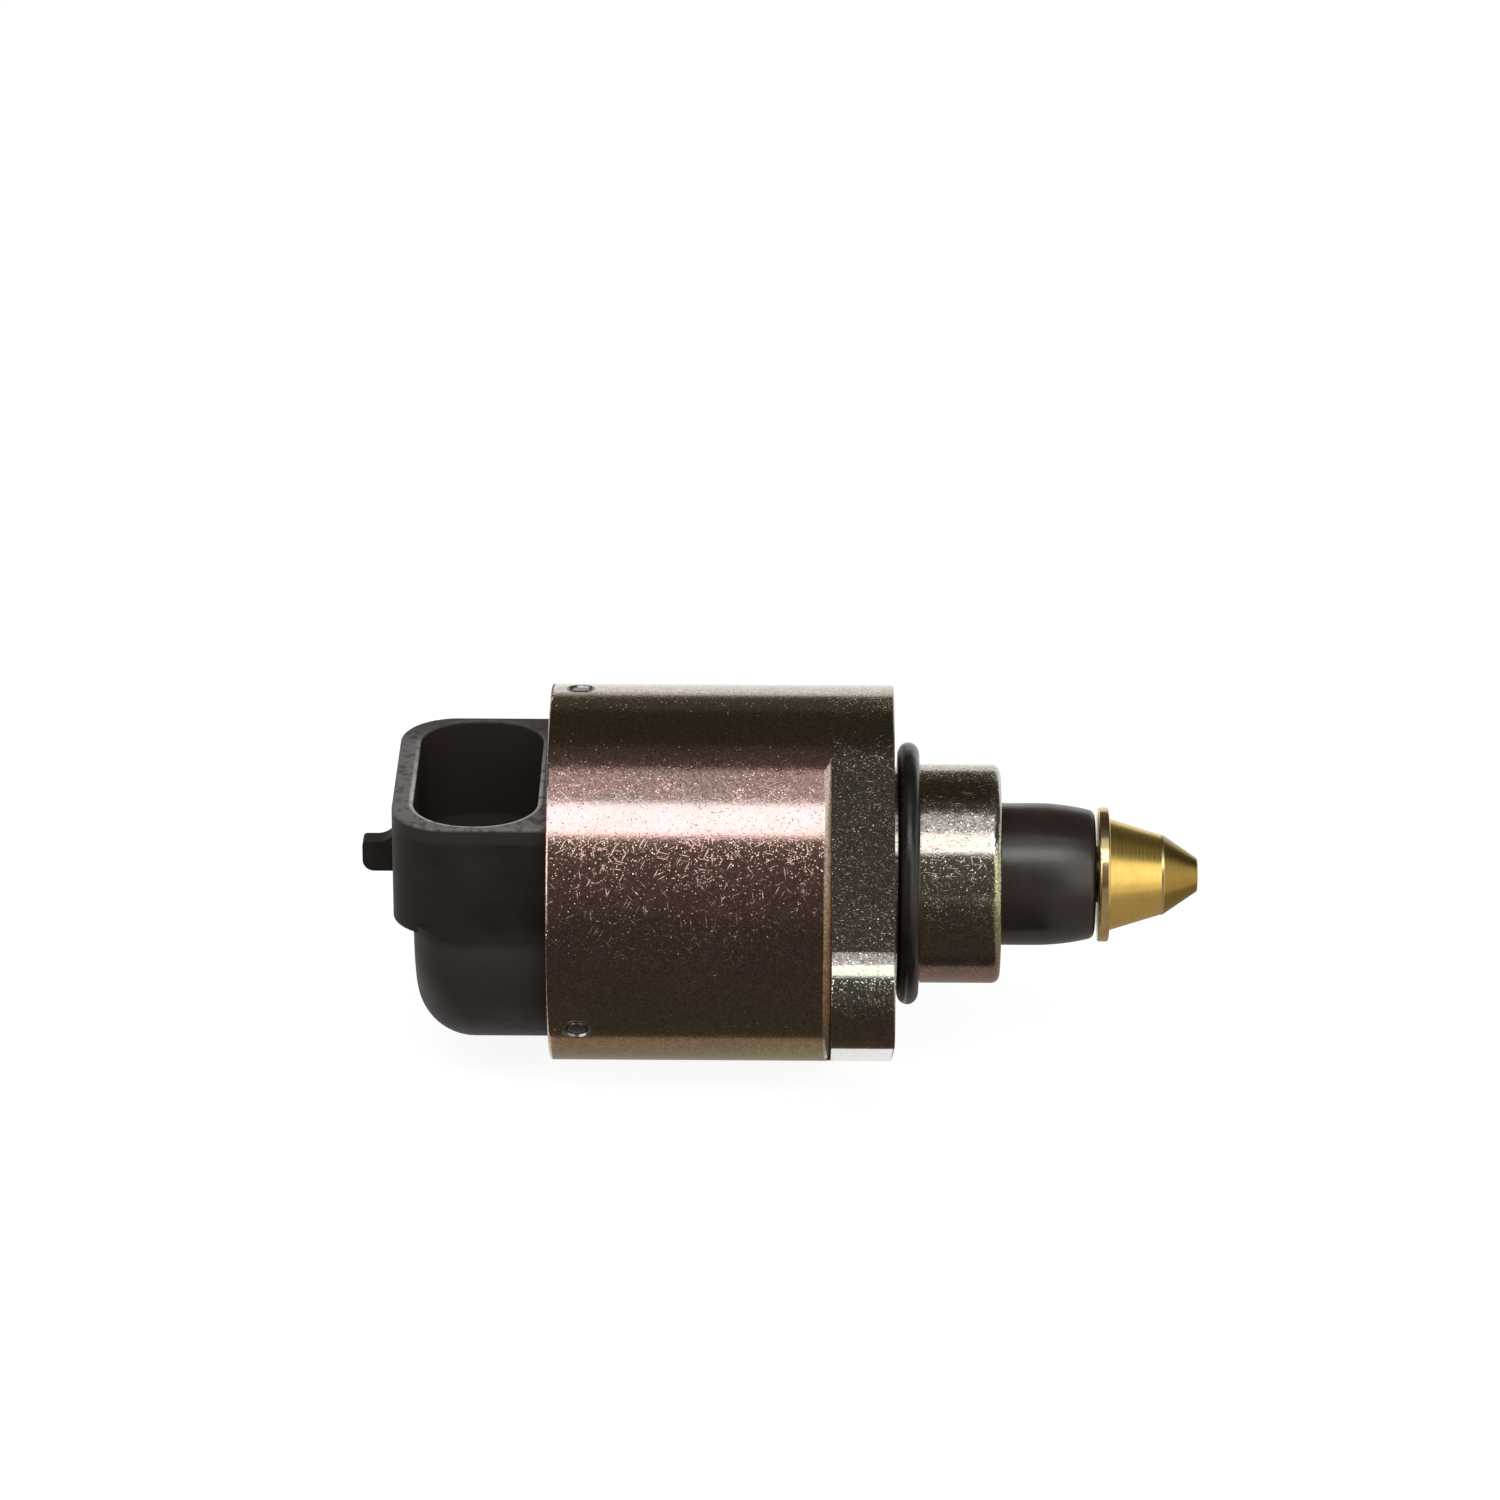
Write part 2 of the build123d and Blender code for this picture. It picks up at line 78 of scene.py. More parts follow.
class Bench:
    """Short calls for laying out shader nodes in one tree."""

    def __init__(self, tree: bpy.types.NodeTree) -> None:
        """Take the tree of a material, a world or a group."""
        self.tree = tree

    def feed(self, node: Node, inputs: Inputs) -> None:
        """Link or set inputs of a node.

        Args:
            node: The node.
            inputs: Inputs by name or index, each an output to link or a constant to set.
        """
        for name, value in inputs.items():
            socket = node.inputs[name]
            if isinstance(value, Socket):
                self.tree.links.new(value, socket)
            elif socket.type == "RGBA" and len(value) == 3:
                socket.default_value = (*value, 1.0)
            else:
                socket.default_value = value

    def put(self, kind: str, inputs: Optional[Inputs] = None, **settings: object) -> Node:
        """Add a shader node.

        Args:
            kind: Node type without its ShaderNode prefix.
            inputs: Inputs by name or index, each an output or a constant.
            **settings: Attributes of the node itself.

        Returns:
            The new node.
        """
        node = self.tree.nodes.new("ShaderNode" + kind)
        for name, value in settings.items():
            setattr(node, name, value)
        self.feed(node, inputs or {})
        return node

    def sum(self, operation: str, first: Feed, second: Feed = 0.0) -> Socket:
        """Result of a Math node."""
        return self.put("Math", {0: first, 1: second}, operation=operation).outputs[0]

    def times(self, *factors: Feed) -> Socket:
        """Product of masks and values, from left to right."""
        return reduce(partial(self.sum, "MULTIPLY"), factors)

    def vector(self, operation: str, first: Feed, second: Feed) -> Socket:
        """Result of a VectorMath node that takes two vectors."""
        return self.put("VectorMath", {0: first, 1: second}, operation=operation).outputs[0]

    def span(self, value: Feed, low: float, high: float, bottom: float = 0.0, top: float = 1.0) -> Socket:
        """Map low to bottom and high to top, and hold the result between them."""
        inputs = {"Value": value, "From Min": low, "From Max": high, "To Min": bottom, "To Max": top}
        return self.put("MapRange", inputs, clamp=True).outputs["Result"]

    def blend(self, share: Feed, first: Feed, second: Feed) -> Socket:
        """Blend from a first colour at share 0 to a second at share 1."""
        return self.put("Mix", {0: share, 6: first, 7: second}, data_type="RGBA").outputs[2]

    def ramp(self, value: Feed, stops: Iterable[tuple[float, Colour]]) -> Socket:
        """Turn a value into a colour.

        Args:
            value: Value from 0 to 1.
            stops: Places and colours, in order.

        Returns:
            The colour.
        """
        node = self.put("ValToRGB", {"Fac": value})
        elements = node.color_ramp.elements
        stops = list(stops)
        while len(elements) < len(stops):
            elements.new(1.0)
        for element, (place, colour) in zip(elements, stops):
            element.position = place
            element.color = (*colour, 1.0)
        return node.outputs["Color"]

    def noise(self, scale: Feed, detail: float) -> Socket:
        """Noise around one half, with so many cells in a metre and so many octaves."""
        inputs = {"Vector": self.place(), "Scale": scale, "Detail": detail}
        return self.put("TexNoise", inputs).outputs["Fac"]

    def place(self) -> Socket:
        """Object coordinates."""
        return self.put("TexCoord").outputs["Object"]

    def facing(self) -> Socket:
        """The surface's own normal in the object's frame."""
        return self.put("TexCoord").outputs["Normal"]

    def split(self, vector: Feed) -> tuple[Socket, ...]:
        """The X, Y and Z of a vector."""
        return tuple(self.put("SeparateXYZ", {0: vector}).outputs)

    def relief(self, height: Feed, depth: float, normal: Optional[Feed] = None) -> Socket:
        """Turn a height into a normal.

        Args:
            height: Height from 0 to 1.
            depth: Real depth of a height of 1, in metres.
            normal: Normal to start from, if not the surface's own.

        Returns:
            The normal.
        """
        bump = self.put("Bump", {"Height": height, "Distance": depth})
        if normal is not None:
            self.feed(bump, {"Normal": normal})
        return bump.outputs["Normal"]


class Effect(Enum):
    """Surface effects that several finishes share."""

    MOTTLE = "mottle"
    GRAIN = "fine_grain"
    SCRATCHES = "fine_scratches"
    TURNING = "turning_marks"
    SPECKS = "sparse_specks"
    FACETS = "bright_facets"


@dataclass
class EffectShelf:
    """Shader node groups, each built when a finish first asks for it."""

    wrap_radius: float = 16 * MM  # Radius at which scratches are unrolled from the barrel
    # Directions of the scratches on the unrolled surface, in degrees
    scratch_turns: tuple[float, ...] = (12.0, 47.0, 83.0, 118.0, 154.0)
    scratch_share: float = 0.07  # Share of the cells that hold a scratch
    scratch_size: float = 0.36  # Half a scratch's length and width, as a share of its cell
    scratch_core: float = 0.1  # Share of its size within which a scratch is deepest

    def use(self, bench: Bench, effect: Effect, **values: Feed) -> Socket:
        """Place an effect in a material.

        Args:
            bench: Bench of the material.
            effect: Which effect.
            **values: Inputs of the group, by their names in lower case.

        Returns:
            The effect's mask, height or normal.
        """
        tree = bpy.data.node_groups.get(effect.value) or self.make(effect)
        inputs = {name.capitalize(): value for name, value in values.items()}
        return bench.put("Group", inputs, node_tree=tree).outputs[0]

    def make(self, effect: Effect) -> bpy.types.NodeTree:
        """Build one effect's group.

        Args:
            effect: Which effect.

        Returns:
            The group's tree.
        """
        builders = {
            Effect.MOTTLE: (self.mottle, ("Scale",), "Value"),
            Effect.GRAIN: (self.grain, ("Scale",), "Height"),
            Effect.SCRATCHES: (self.scratches, ("Length", "Width"), "Mask"),
            Effect.TURNING: (self.turning, ("Pitch",), "Height"),
            Effect.SPECKS: (self.specks, ("Scale", "Size", "Share"), "Mask"),
            Effect.FACETS: (self.facets, ("Scale", "Size", "Share", "Tilt"), "Normal"),
        }
        build, names, result = builders[effect]
        tree = bpy.data.node_groups.new(effect.value, "ShaderNodeTree")
        for name in names:
            tree.interface.new_socket(name=name, in_out="INPUT", socket_type="NodeSocketFloat")
        kind = "NodeSocketVector" if result == "Normal" else "NodeSocketFloat"
        tree.interface.new_socket(name=result, in_out="OUTPUT", socket_type=kind)
        bench = Bench(tree)
        entry = tree.nodes.new("NodeGroupInput")
        leave = tree.nodes.new("NodeGroupOutput")
        bench.feed(leave, {result: build(bench, entry.outputs)})
        return tree

    def mottle(self, bench: Bench, entry: Entry) -> Socket:
        """Soft clouds of tone."""
        return bench.noise(entry["Scale"], detail=3.0)

    def grain(self, bench: Bench, entry: Entry) -> Socket:
        """Fine even roughness of a plated or moulded skin."""
        return bench.noise(entry["Scale"], detail=1.0)

    def cells(self, bench: Bench, place: Feed, scale: Feed, share: Feed) -> tuple[Socket, Socket, Socket]:
        """Scattered cells, of which some are chosen.

        Args:
            bench: Bench of the group.
            place: Place to read them at.
            scale: Cells in a unit of length.
            share: Share of the cells that is chosen.

        Returns:
            Distance from a cell's middle, the cell's chance colour and 1 in a chosen cell.
        """
        grid = bench.put("TexVoronoi", {"Vector": place, "Scale": scale}).outputs
        chosen = bench.sum("LESS_THAN", bench.split(grid["Color"])[0], share)
        return grid["Distance"], grid["Color"], chosen

    def scratches(self, bench: Bench, entry: Entry) -> Socket:
        """Short straight scratches in several directions on the unrolled surface.

        Args:
            bench: Bench of the group.
            entry: The group's inputs.

        Returns:
            Mask of the scratches.
        """
        along, across, up = bench.split(bench.place())
        arc = bench.times(bench.sum("ARCTAN2", across, up), self.wrap_radius)
        squares = bench.sum("ADD", bench.sum("POWER", across, 2.0), bench.sum("POWER", up, 2.0))
        unrolled = bench.put("CombineXYZ", {0: along, 1: arc, 2: bench.sum("SQRT", squares)}).outputs[0]
        long, fine = (bench.sum("DIVIDE", 1.0, entry[name]) for name in ("Length", "Width"))
        stretch = bench.put("CombineXYZ", {0: long, 1: fine, 2: fine}).outputs[0]
        mask: Feed = 0.0
        for turn in self.scratch_turns:
            aim = {"Vector": unrolled, "Angle": math.radians(turn)}
            turned = bench.put("VectorRotate", aim, rotation_type="Z_AXIS").outputs[0]
            stretched = bench.vector("MULTIPLY", turned, stretch)
            distance, _, chosen = self.cells(bench, stretched, 1.0, self.scratch_share)
            inside = bench.span(distance, self.scratch_size, self.scratch_core * self.scratch_size)
            mask = bench.sum("MAXIMUM", mask, bench.times(chosen, inside))
        return mask

    def turning(self, bench: Bench, entry: Entry) -> Socket:
        """Rings that a lathe tool leaves around the valve's axis."""
        rings = {"W": bench.sum("DIVIDE", bench.split(bench.place())[0], entry["Pitch"]), "Scale": 1.0}
        return bench.put("TexNoise", rings, noise_dimensions="1D").outputs["Fac"]

    def specks(self, bench: Bench, entry: Entry) -> Socket:
        """Small round specks, in only some of the cells.

        Args:
            bench: Bench of the group.
            entry: The group's inputs.

        Returns:
            Mask of the specks.
        """
        distance, _, chosen = self.cells(bench, bench.place(), entry["Scale"], entry["Share"])
        fall = bench.sum("SUBTRACT", 1.0, bench.sum("DIVIDE", distance, entry["Size"]))
        return bench.times(chosen, bench.sum("MAXIMUM", fall, 0.0))

    def facets(self, bench: Bench, entry: Entry) -> Socket:
        """Normals of tiny tilted crystals, in only some of the cells.

        Args:
            bench: Bench of the group.
            entry: The group's inputs.

        Returns:
            The normal.
        """
        distance, colour, chosen = self.cells(bench, bench.place(), entry["Scale"], entry["Share"])
        held = bench.times(chosen, bench.sum("LESS_THAN", distance, entry["Size"]))
        chance = bench.put("TexWhiteNoise", {"Vector": colour}).outputs["Color"]
        lean = bench.vector("SUBTRACT", chance, (0.5, 0.5, 0.5))
        amount = {0: lean, "Scale": bench.times(held, entry["Tilt"])}
        turn = bench.put("VectorMath", amount, operation="SCALE").outputs[0]
        normal = bench.vector("ADD", bench.put("NewGeometry").outputs["Normal"], turn)
        return bench.put("VectorMath", {0: normal}, operation="NORMALIZE").outputs[0]


SHELF = EffectShelf()


def tone(colour: Colour, factor: float) -> Colour:
    """A colour made lighter or darker by a factor."""
    return tuple(min(1.0, part * factor) for part in colour)


def new_material(name: str) -> tuple[bpy.types.Material, Bench, Node]:
    """Add a material.

    Args:
        name: Its name.

    Returns:
        The material, a bench for its nodes and its Principled BSDF.
    """
    material = bpy.data.materials.new(name)
    material.use_nodes = True
    return material, Bench(material.node_tree), material.node_tree.nodes["Principled BSDF"]


@dataclass(frozen=True)
class Finish:
    """Surface finish, made into one material.

    In every finish a Band maps a noise, a place or a facing to the share of what it is named after, and a
    tone is a factor of lightness.
    """

    name: str
    colour: Colour
    roughness: float
    metallic: float = 0.0  # 1 for bare or plated metal, 0 for the rest
    gloss: float = 0.5  # Strength of the clear reflection on what is not metal
    swing: tuple[float, float] = (0.0, 0.0)  # Roughness at a noise's lowest and highest, from the mean
    depth: float = 0.02 * MM  # Depth of the relief

    def make(self) -> bpy.types.Material:
        """Build the material, or find it if it is built already.

        Returns:
            The material.
        """
        found = bpy.data.materials.get(self.name)
        if found:
            return found
        material, bench, surface = new_material(self.name)
        bench.feed(surface, {"Metallic": self.metallic, "Specular IOR Level": self.gloss})
        material.diffuse_color = (*self.colour, 1.0)
        bench.feed(surface, self.paint(bench))
        return material

    def paint(self, bench: Bench) -> Inputs:
        """What varies over the surface, by the Principled BSDF's inputs."""
        raise NotImplementedError

    def clouds(self, bench: Bench, scale: float) -> Socket:
        """Soft clouds, so many in a metre."""
        return SHELF.use(bench, Effect.MOTTLE, scale=scale)

    def uneven(self, bench: Bench, noise: Feed) -> Socket:
        """Roughness that swings with a noise."""
        return bench.span(noise, *CLOUDY, *(self.roughness + change for change in self.swing))


class Tint(Enum):
    """Tints of the passivated plate, several of which serve as painted reflections and painted highlights.
    """

    BROWN = (0.47, 0.36, 0.27)
    ROSE = (0.62, 0.38, 0.35)
    LILAC = (0.33, 0.27, 0.29)
    STRAW = (0.46, 0.42, 0.18)
    COPPER = (0.72, 0.41, 0.2)
    CREAM = (1.0, 0.9, 0.8)
    GREY = (0.46, 0.47, 0.44)
    SAGE = (0.43, 0.53, 0.45)
    MOSS = (0.35, 0.32, 0.26)
    LIME = (0.5, 0.55, 0.12)
    MINT = (0.58, 0.78, 0.4)
    WHITE = (0.9, 0.89, 0.88)
    BARE = (0.62, 0.58, 0.54)


# Place on a ramp, tint there and the tint's lightness.
Stops = tuple[tuple[float, Tint, float], ...]


@dataclass(frozen=True)
class PassivatedZinc(Finish):
    """Yellow passivated zinc plate with fine handling scratches, whose tints change over the surface,
    partly its own and partly painted reflections and highlights set by the way it faces.

    Heights are those of the surface's facing: 0 is straight down and 1 straight up.
    """

    depth: float = 0.018 * MM
    # Tints by height, partly the plate's own and partly painted reflections, with a painted highlight where
    # the key light falls: of the barrel, of the flange and nose, and of the front edges of both
    barrel: Stops = (
        (0.13, Tint.STRAW, 1.0), (0.18, Tint.COPPER, 1.0), (0.23, Tint.STRAW, 0.9),
        (0.35, Tint.BROWN, 1.0), (0.60, Tint.ROSE, 0.85), (0.78, Tint.ROSE, 0.9),
        (0.805, Tint.LILAC, 1.0), (0.86, Tint.LILAC, 1.0), (0.875, Tint.ROSE, 1.0),
        (0.93, Tint.ROSE, 1.0), (0.96, Tint.BROWN, 1.0), (1.00, Tint.STRAW, 1.0),
    )
    nose: Stops = (
        (0.05, Tint.WHITE, 1.0), (0.09, Tint.GREY, 1.0), (0.14, Tint.ROSE, 1.0),
        (0.22, Tint.BROWN, 1.0), (0.42, Tint.BROWN, 0.9), (0.66, Tint.SAGE, 1.0),
        (0.78, Tint.SAGE, 0.85), (0.81, Tint.SAGE, 0.6), (0.85, Tint.SAGE, 0.6),
        (0.865, Tint.WHITE, 0.9), (0.93, Tint.WHITE, 1.0), (0.936, Tint.GREY, 1.0),
        (0.955, Tint.MOSS, 1.0), (1.00, Tint.STRAW, 1.0),
    )
    rolled: Stops = (
        (0.24, Tint.STRAW, 1.0), (0.34, Tint.COPPER, 1.2), (0.46, Tint.COPPER, 1.5),
        (0.58, Tint.COPPER, 1.8), (0.72, Tint.CREAM, 0.97), (0.80, Tint.CREAM, 1.0),
    )
    rim: Stops = (
        (0.32, Tint.ROSE, 1.0), (0.40, Tint.MINT, 1.0), (0.70, Tint.MINT, 1.0),
        (0.85, Tint.WHITE, 1.0),
    )
    # Clouds of tint over all of them
    cloud: Stops = ((0.36, Tint.MOSS, 1.0), (0.47, Tint.BROWN, 1.0), (0.60, Tint.ROSE, 1.0))
    cloud_share: float = 0.3
    # Lime tint, a painted reflection of the floor, low on the barrel toward its front
    lime_height: Band = (0.22, 0.13)
    lime_along: Band = (-24.0 * MM, -8.0 * MM)
    # Where the flange's tints begin along the axis, and the stretch over which they come in
    nose_from: float = -5.2 * MM
    nose_along: Band = (-5.5 * MM, -4.9 * MM)
    # Painted reflection of the white backdrop in cream on the barrel's far crown, by sideways facing and
    # height
    crown_side: Band = (0.0, 0.1, 0.0, 0.85)
    crown_height: Band = (0.9, 0.97)
    # Barrel's rolled front edge, painted copper to cream as a painted highlight of the side light, and made
    # nearly not metal so that the lamps light it like paint
    bead_gap: float = 0.01 * MM
    bead_facing: Band = (0.02, 0.12)
    bead_share: float = 0.95
    bead_metal: float = 0.05
    # Nose's front edge, whose tints are painted reflections with a white painted highlight, by place along
    # the axis and forward facing
    rim_along: Band = (8.05 * MM, 8.4 * MM, 0.0, 0.9)
    rim_facing: Band = (0.75, 0.95, 1.0, 0.3)
    # Heights over which scratches and flecks come in, and go out again on the barrel
    worn_low: Band = (0.26, 0.46, 0.2, 1.0)
    worn_high: Band = (0.9, 0.935, 1.0, 0.2)
    # Height of the painted highlight band, where dark patches, grain, scratches and flecks are held back,
    # and distances from it over which they come back
    highlight_at: float = 0.82
    highlight_spread: Band = (0.028, 0.045, 0.4, 1.0)
    # Dull patches, and grain with its own height
    patch: Band = (0.35, 0.65, 0.0, 0.35)
    patch_tone: float = 0.55
    grain: Band = (0.38, 0.6, 0.0, 0.6)
    grain_tone: float = 0.38
    grain_rise: float = 0.3
    # Bare colour, depth and added roughness of a scratch
    scratch_show: float = 0.35
    scratch_sink: float = 0.6
    frost: float = 0.18
    fleck_share: Band = (0.35, 0.65, 0.25, 0.75)  # Share of the cells with a bright fleck

    def bands(self, bench: Bench, value: Feed, stops: Stops) -> Socket:
        """Tints by a value from 0 to 1."""
        return bench.ramp(value, [(place, tone(tint.value, factor)) for place, tint, factor in stops])

    def bead(self, bench: Bench) -> Socket:
        """Mask of the barrel's rolled front edge.

        Args:
            bench: Bench of the material.

        Returns:
            The mask.
        """
        along, fore = bench.split(bench.place())[0], bench.split(bench.facing())[0]
        behind = bench.sum("LESS_THAN", along, self.nose_from - self.bead_gap)
        return bench.times(behind, bench.span(fore, *self.bead_facing))

    def tint(self, bench: Bench) -> Socket:
        """Colour of the passivation with its painted reflections and highlights, by the way that the
        surface faces and by place.

        Args:
            bench: Bench of the material.

        Returns:
            The colour.
        """
        along = bench.split(bench.place())[0]
        fore, side, lift = bench.split(bench.facing())
        height = bench.span(lift, -1.0, 1.0)
        # Painted floor reflection: lime low on the barrel.
        low = bench.times(bench.span(height, *self.lime_height), bench.span(along, *self.lime_along))
        # The barrel's and nose's tints follow the facing: painted reflections and a painted highlight band.
        barrel = bench.blend(low, self.bands(bench, height, self.barrel), Tint.LIME.value)
        nose = self.bands(bench, height, self.nose)
        base = bench.blend(bench.span(along, *self.nose_along), barrel, nose)
        # Painted reflection of the backdrop in cream on the far crown.
        crown = bench.times(bench.span(side, *self.crown_side), bench.span(height, *self.crown_height))
        base = bench.blend(crown, base, Tint.CREAM.value)
        # Painted highlight of the side light on the rolled front edge.
        bead = bench.times(self.bead(bench), self.bead_share)
        base = bench.blend(bead, base, self.bands(bench, height, self.rolled))
        # Painted reflections and highlight on the nose's front edge.
        edge = bench.times(bench.span(along, *self.rim_along), bench.span(fore, *self.rim_facing))
        return bench.blend(edge, base, self.bands(bench, height, self.rim))

    def paint(self, bench: Bench) -> Inputs:
        """Lay out tints with painted reflections and highlights, scratches, grain and flecks.

        Args:
            bench: Bench of the material.

        Returns:
            What varies over the surface.
        """
        along = bench.split(bench.place())[0]
        height = bench.span(bench.split(bench.facing())[2], -1.0, 1.0)
        ahead = bench.sum("GREATER_THAN", along, self.nose_from)
        over = bench.sum("MAXIMUM", bench.span(height, *self.worn_high), ahead)
        wear = bench.times(bench.span(height, *self.worn_low), over)
        # Dark patches, grain, scratches and flecks are held back in the painted highlight band.
        off = bench.sum("ABSOLUTE", bench.sum("SUBTRACT", height, self.highlight_at))
        busy = bench.span(off, *self.highlight_spread)
        cloud = self.bands(bench, self.clouds(bench, scale=170.0), self.cloud)
        shade = bench.blend(self.cloud_share, self.tint(bench), cloud)
        grain = SHELF.use(bench, Effect.GRAIN, scale=5200.0)
        patches = self.clouds(bench, scale=1500.0)
        for noise, band, factor in (
            (patches, self.patch, self.patch_tone),
            (grain, self.grain, self.grain_tone),
        ):
            dark = bench.times(bench.span(noise, *band), busy)
            shade = bench.blend(dark, shade, tone(self.colour, factor))
        scratch = SHELF.use(bench, Effect.SCRATCHES, length=1.7 * MM, width=0.115 * MM)
        scratch = bench.times(scratch, wear, busy)
        common = bench.span(self.clouds(bench, scale=300.0), *self.fleck_share)
        share = bench.times(common, wear, busy)
        flecks = SHELF.use(bench, Effect.FACETS, scale=7500.0, size=0.42, share=share, tilt=0.46)
        raised, sunk = bench.times(grain, self.grain_rise, busy), bench.times(scratch, self.scratch_sink)
        return {
            "Base Color": bench.blend(bench.times(scratch, self.scratch_show), shade, Tint.BARE.value),
            "Roughness": bench.sum("ADD", bench.times(scratch, self.frost), self.roughness),
            "Metallic": bench.span(self.bead(bench), 0.0, 1.0, 1.0, self.bead_metal),
            "Normal": bench.relief(bench.sum("SUBTRACT", raised, sunk), self.depth, flecks),
        }


@dataclass(frozen=True)
class Moulding(Finish):
    """Moulded plastic with a fine grain, faint flow clouds and small pale specks."""

    swing: tuple[float, float] = (-0.05, 0.06)
    rubbed: Colour = (0.13, 0.127, 0.127)  # Colour of the specks, and of the skin where it is rubbed
    grain: float = 3500.0
    flow: tuple[float, float] = (0.82, 1.2)  # Lightness of the darkest and of the palest cloud
    speck_show: float = 0.15

    def paint(self, bench: Bench) -> Inputs:
        """Lay out clouds, specks, handling and grain.

        Args:
            bench: Bench of the material.

        Returns:
            What varies over the surface.
        """
        clouds = self.clouds(bench, scale=260.0)
        skin = bench.blend(bench.span(clouds, *CLOUDY), *(tone(self.colour, part) for part in self.flow))
        speck = SHELF.use(bench, Effect.SPECKS, scale=1500.0, size=0.18, share=0.35)
        skin = bench.blend(bench.times(speck, self.speck_show), skin, self.rubbed)
        return {
            "Base Color": self.handle(bench, skin),
            "Roughness": self.uneven(bench, clouds),
            "Normal": bench.relief(SHELF.use(bench, Effect.GRAIN, scale=self.grain), self.depth),
        }

    def handle(self, bench: Bench, skin: Socket) -> Socket:
        """Colour after handling, which leaves no trace on most mouldings."""
        return skin


@dataclass(frozen=True)
class SocketMoulding(Moulding):
    """Moulding of the connector, whose rim is rubbed by the plug, with a painted highlight along the
    opening's near inner edge and painted light inside the opening and on the cap's foot.
    """

    # Heights over which rubbing comes in, and the place along the axis behind which it does
    rub: Band = (8.8 * MM, 9.0 * MM)
    rub_behind: float = -29.03 * MM
    mouth: float = -35.1 * MM  # Centre of the opening along the axis
    mouth_length: float = 10.5 * MM
    mouth_width: float = 22.4 * MM
    mouth_corner: float = 5.0 * MM
    # Painted light inside the opening: a colour lighter than the skin, standing in for light that the walls
    # don't get, and how far beyond its edge the colour goes
    within: Colour = (0.044, 0.032, 0.028)
    within_edge: float = 0.35 * MM
    # Lightness of the cap above the tower's brow, which is paler, and of the cap's foot, which is painted
    # light standing in for light that falls off toward the floor; and the heights of both
    pale_tone: float = 1.9
    brow: Band = (7.6 * MM, 7.9 * MM, 0.0, 0.6)
    foot: Band = (-0.3 * MM, -1.2 * MM)
    # Rubbed rim: distance from the opening's edge, patches, and fading to the far side
    rim: Band = (-0.15 * MM, -0.05 * MM)
    patch: Band = (0.38, 0.52, 0.35, 1.0)
    far_side: Band = (6.0 * MM, 10.0 * MM, 1.0, 0.25)
    # Painted highlight along the opening's near inner edge: colour, patches, distance from the edge, and
    # fading to the far side
    edge_highlight: Colour = (0.5, 0.49, 0.48)
    highlight_patches: Band = (0.32, 0.48, 0.35, 1.0)
    edge: Band = (0.2 * MM, 0.42 * MM, 1.0, 0.0)
    near_side: Band = (-4.0 * MM, 8.0 * MM, 1.0, 0.08)

    def from_mouth(self, bench: Bench) -> Socket:
        """Distance outward from the opening's edge, seen from above.

        Args:
            bench: Bench of the material.

        Returns:
            The distance, below 0 inside the opening.
        """
        along, across, _ = bench.split(bench.place())
        long = bench.sum("ABSOLUTE", bench.sum("SUBTRACT", along, self.mouth))
        long = bench.sum("SUBTRACT", long, self.mouth_length / 2 - self.mouth_corner)
        wide = bench.sum("ABSOLUTE", across)
        wide = bench.sum("SUBTRACT", wide, self.mouth_width / 2 - self.mouth_corner)
        squares = [bench.sum("POWER", bench.sum("MAXIMUM", part, 0.0), 2.0) for part in (long, wide)]
        outer = bench.sum("SQRT", bench.sum("ADD", *squares))
        inner = bench.sum("MINIMUM", bench.sum("MAXIMUM", long, wide), 0.0)
        return bench.sum("SUBTRACT", bench.sum("ADD", outer, inner), self.mouth_corner)

    def handle(self, bench: Bench, skin: Socket) -> Socket:
        """Pale the brow, paint light on the foot and inside the opening, rub the rim and paint a highlight
        along the near edge.

        Args:
            bench: Bench of the material.
            skin: Colour so far.

        Returns:
            The rubbed colour.
        """
        along, across, up = bench.split(bench.place())
        out = self.from_mouth(bench)
        # Paler above the brow; painted light on the foot.
        for band in (self.brow, self.foot):
            skin = bench.blend(bench.span(up, *band), skin, tone(self.colour, self.pale_tone))
        high = bench.times(bench.span(up, *self.rub), bench.sum("LESS_THAN", along, self.rub_behind))
        # Painted light inside the opening.
        inside = bench.sum("LESS_THAN", out, self.within_edge)
        hollow = bench.times(inside, bench.sum("SUBTRACT", 1.0, high))
        skin = bench.blend(hollow, skin, self.within)
        rim = bench.times(high, bench.span(out, *self.rim))
        patchy = bench.span(self.clouds(bench, scale=1600.0), *self.patch)
        patchy = bench.times(patchy, bench.span(across, *self.far_side))
        skin = bench.blend(bench.times(rim, patchy), skin, self.rubbed)
        # Painted highlight along the opening's near inner edge.
        highlight_patches = bench.span(self.clouds(bench, scale=900.0), *self.highlight_patches)
        highlight_patches = bench.times(highlight_patches, bench.span(across, *self.near_side))
        return bench.blend(bench.times(bench.span(out, *self.edge), rim, highlight_patches), skin, self.edge_highlight)


@dataclass(frozen=True)
class Elastomer(Finish):
    """Moulded rubber with a soft bloom."""

    swing: tuple[float, float] = (-0.06, 0.08)
    depth: float = 0.008 * MM
    bloom: Band = (0.4, 0.7)
    bloom_tone: float = 1.7
    grain: float = 6000.0

    def paint(self, bench: Bench) -> Inputs:
        """Lay out bloom and grain.

        Args:
            bench: Bench of the material.

        Returns:
            What varies over the surface.
        """
        clouds = self.clouds(bench, scale=700.0)
        bloom = bench.span(clouds, *self.bloom)
        return {
            "Base Color": bench.blend(bloom, self.colour, tone(self.colour, self.bloom_tone)),
            "Roughness": self.uneven(bench, clouds),
            "Normal": bench.relief(SHELF.use(bench, Effect.GRAIN, scale=self.grain), self.depth),
        }


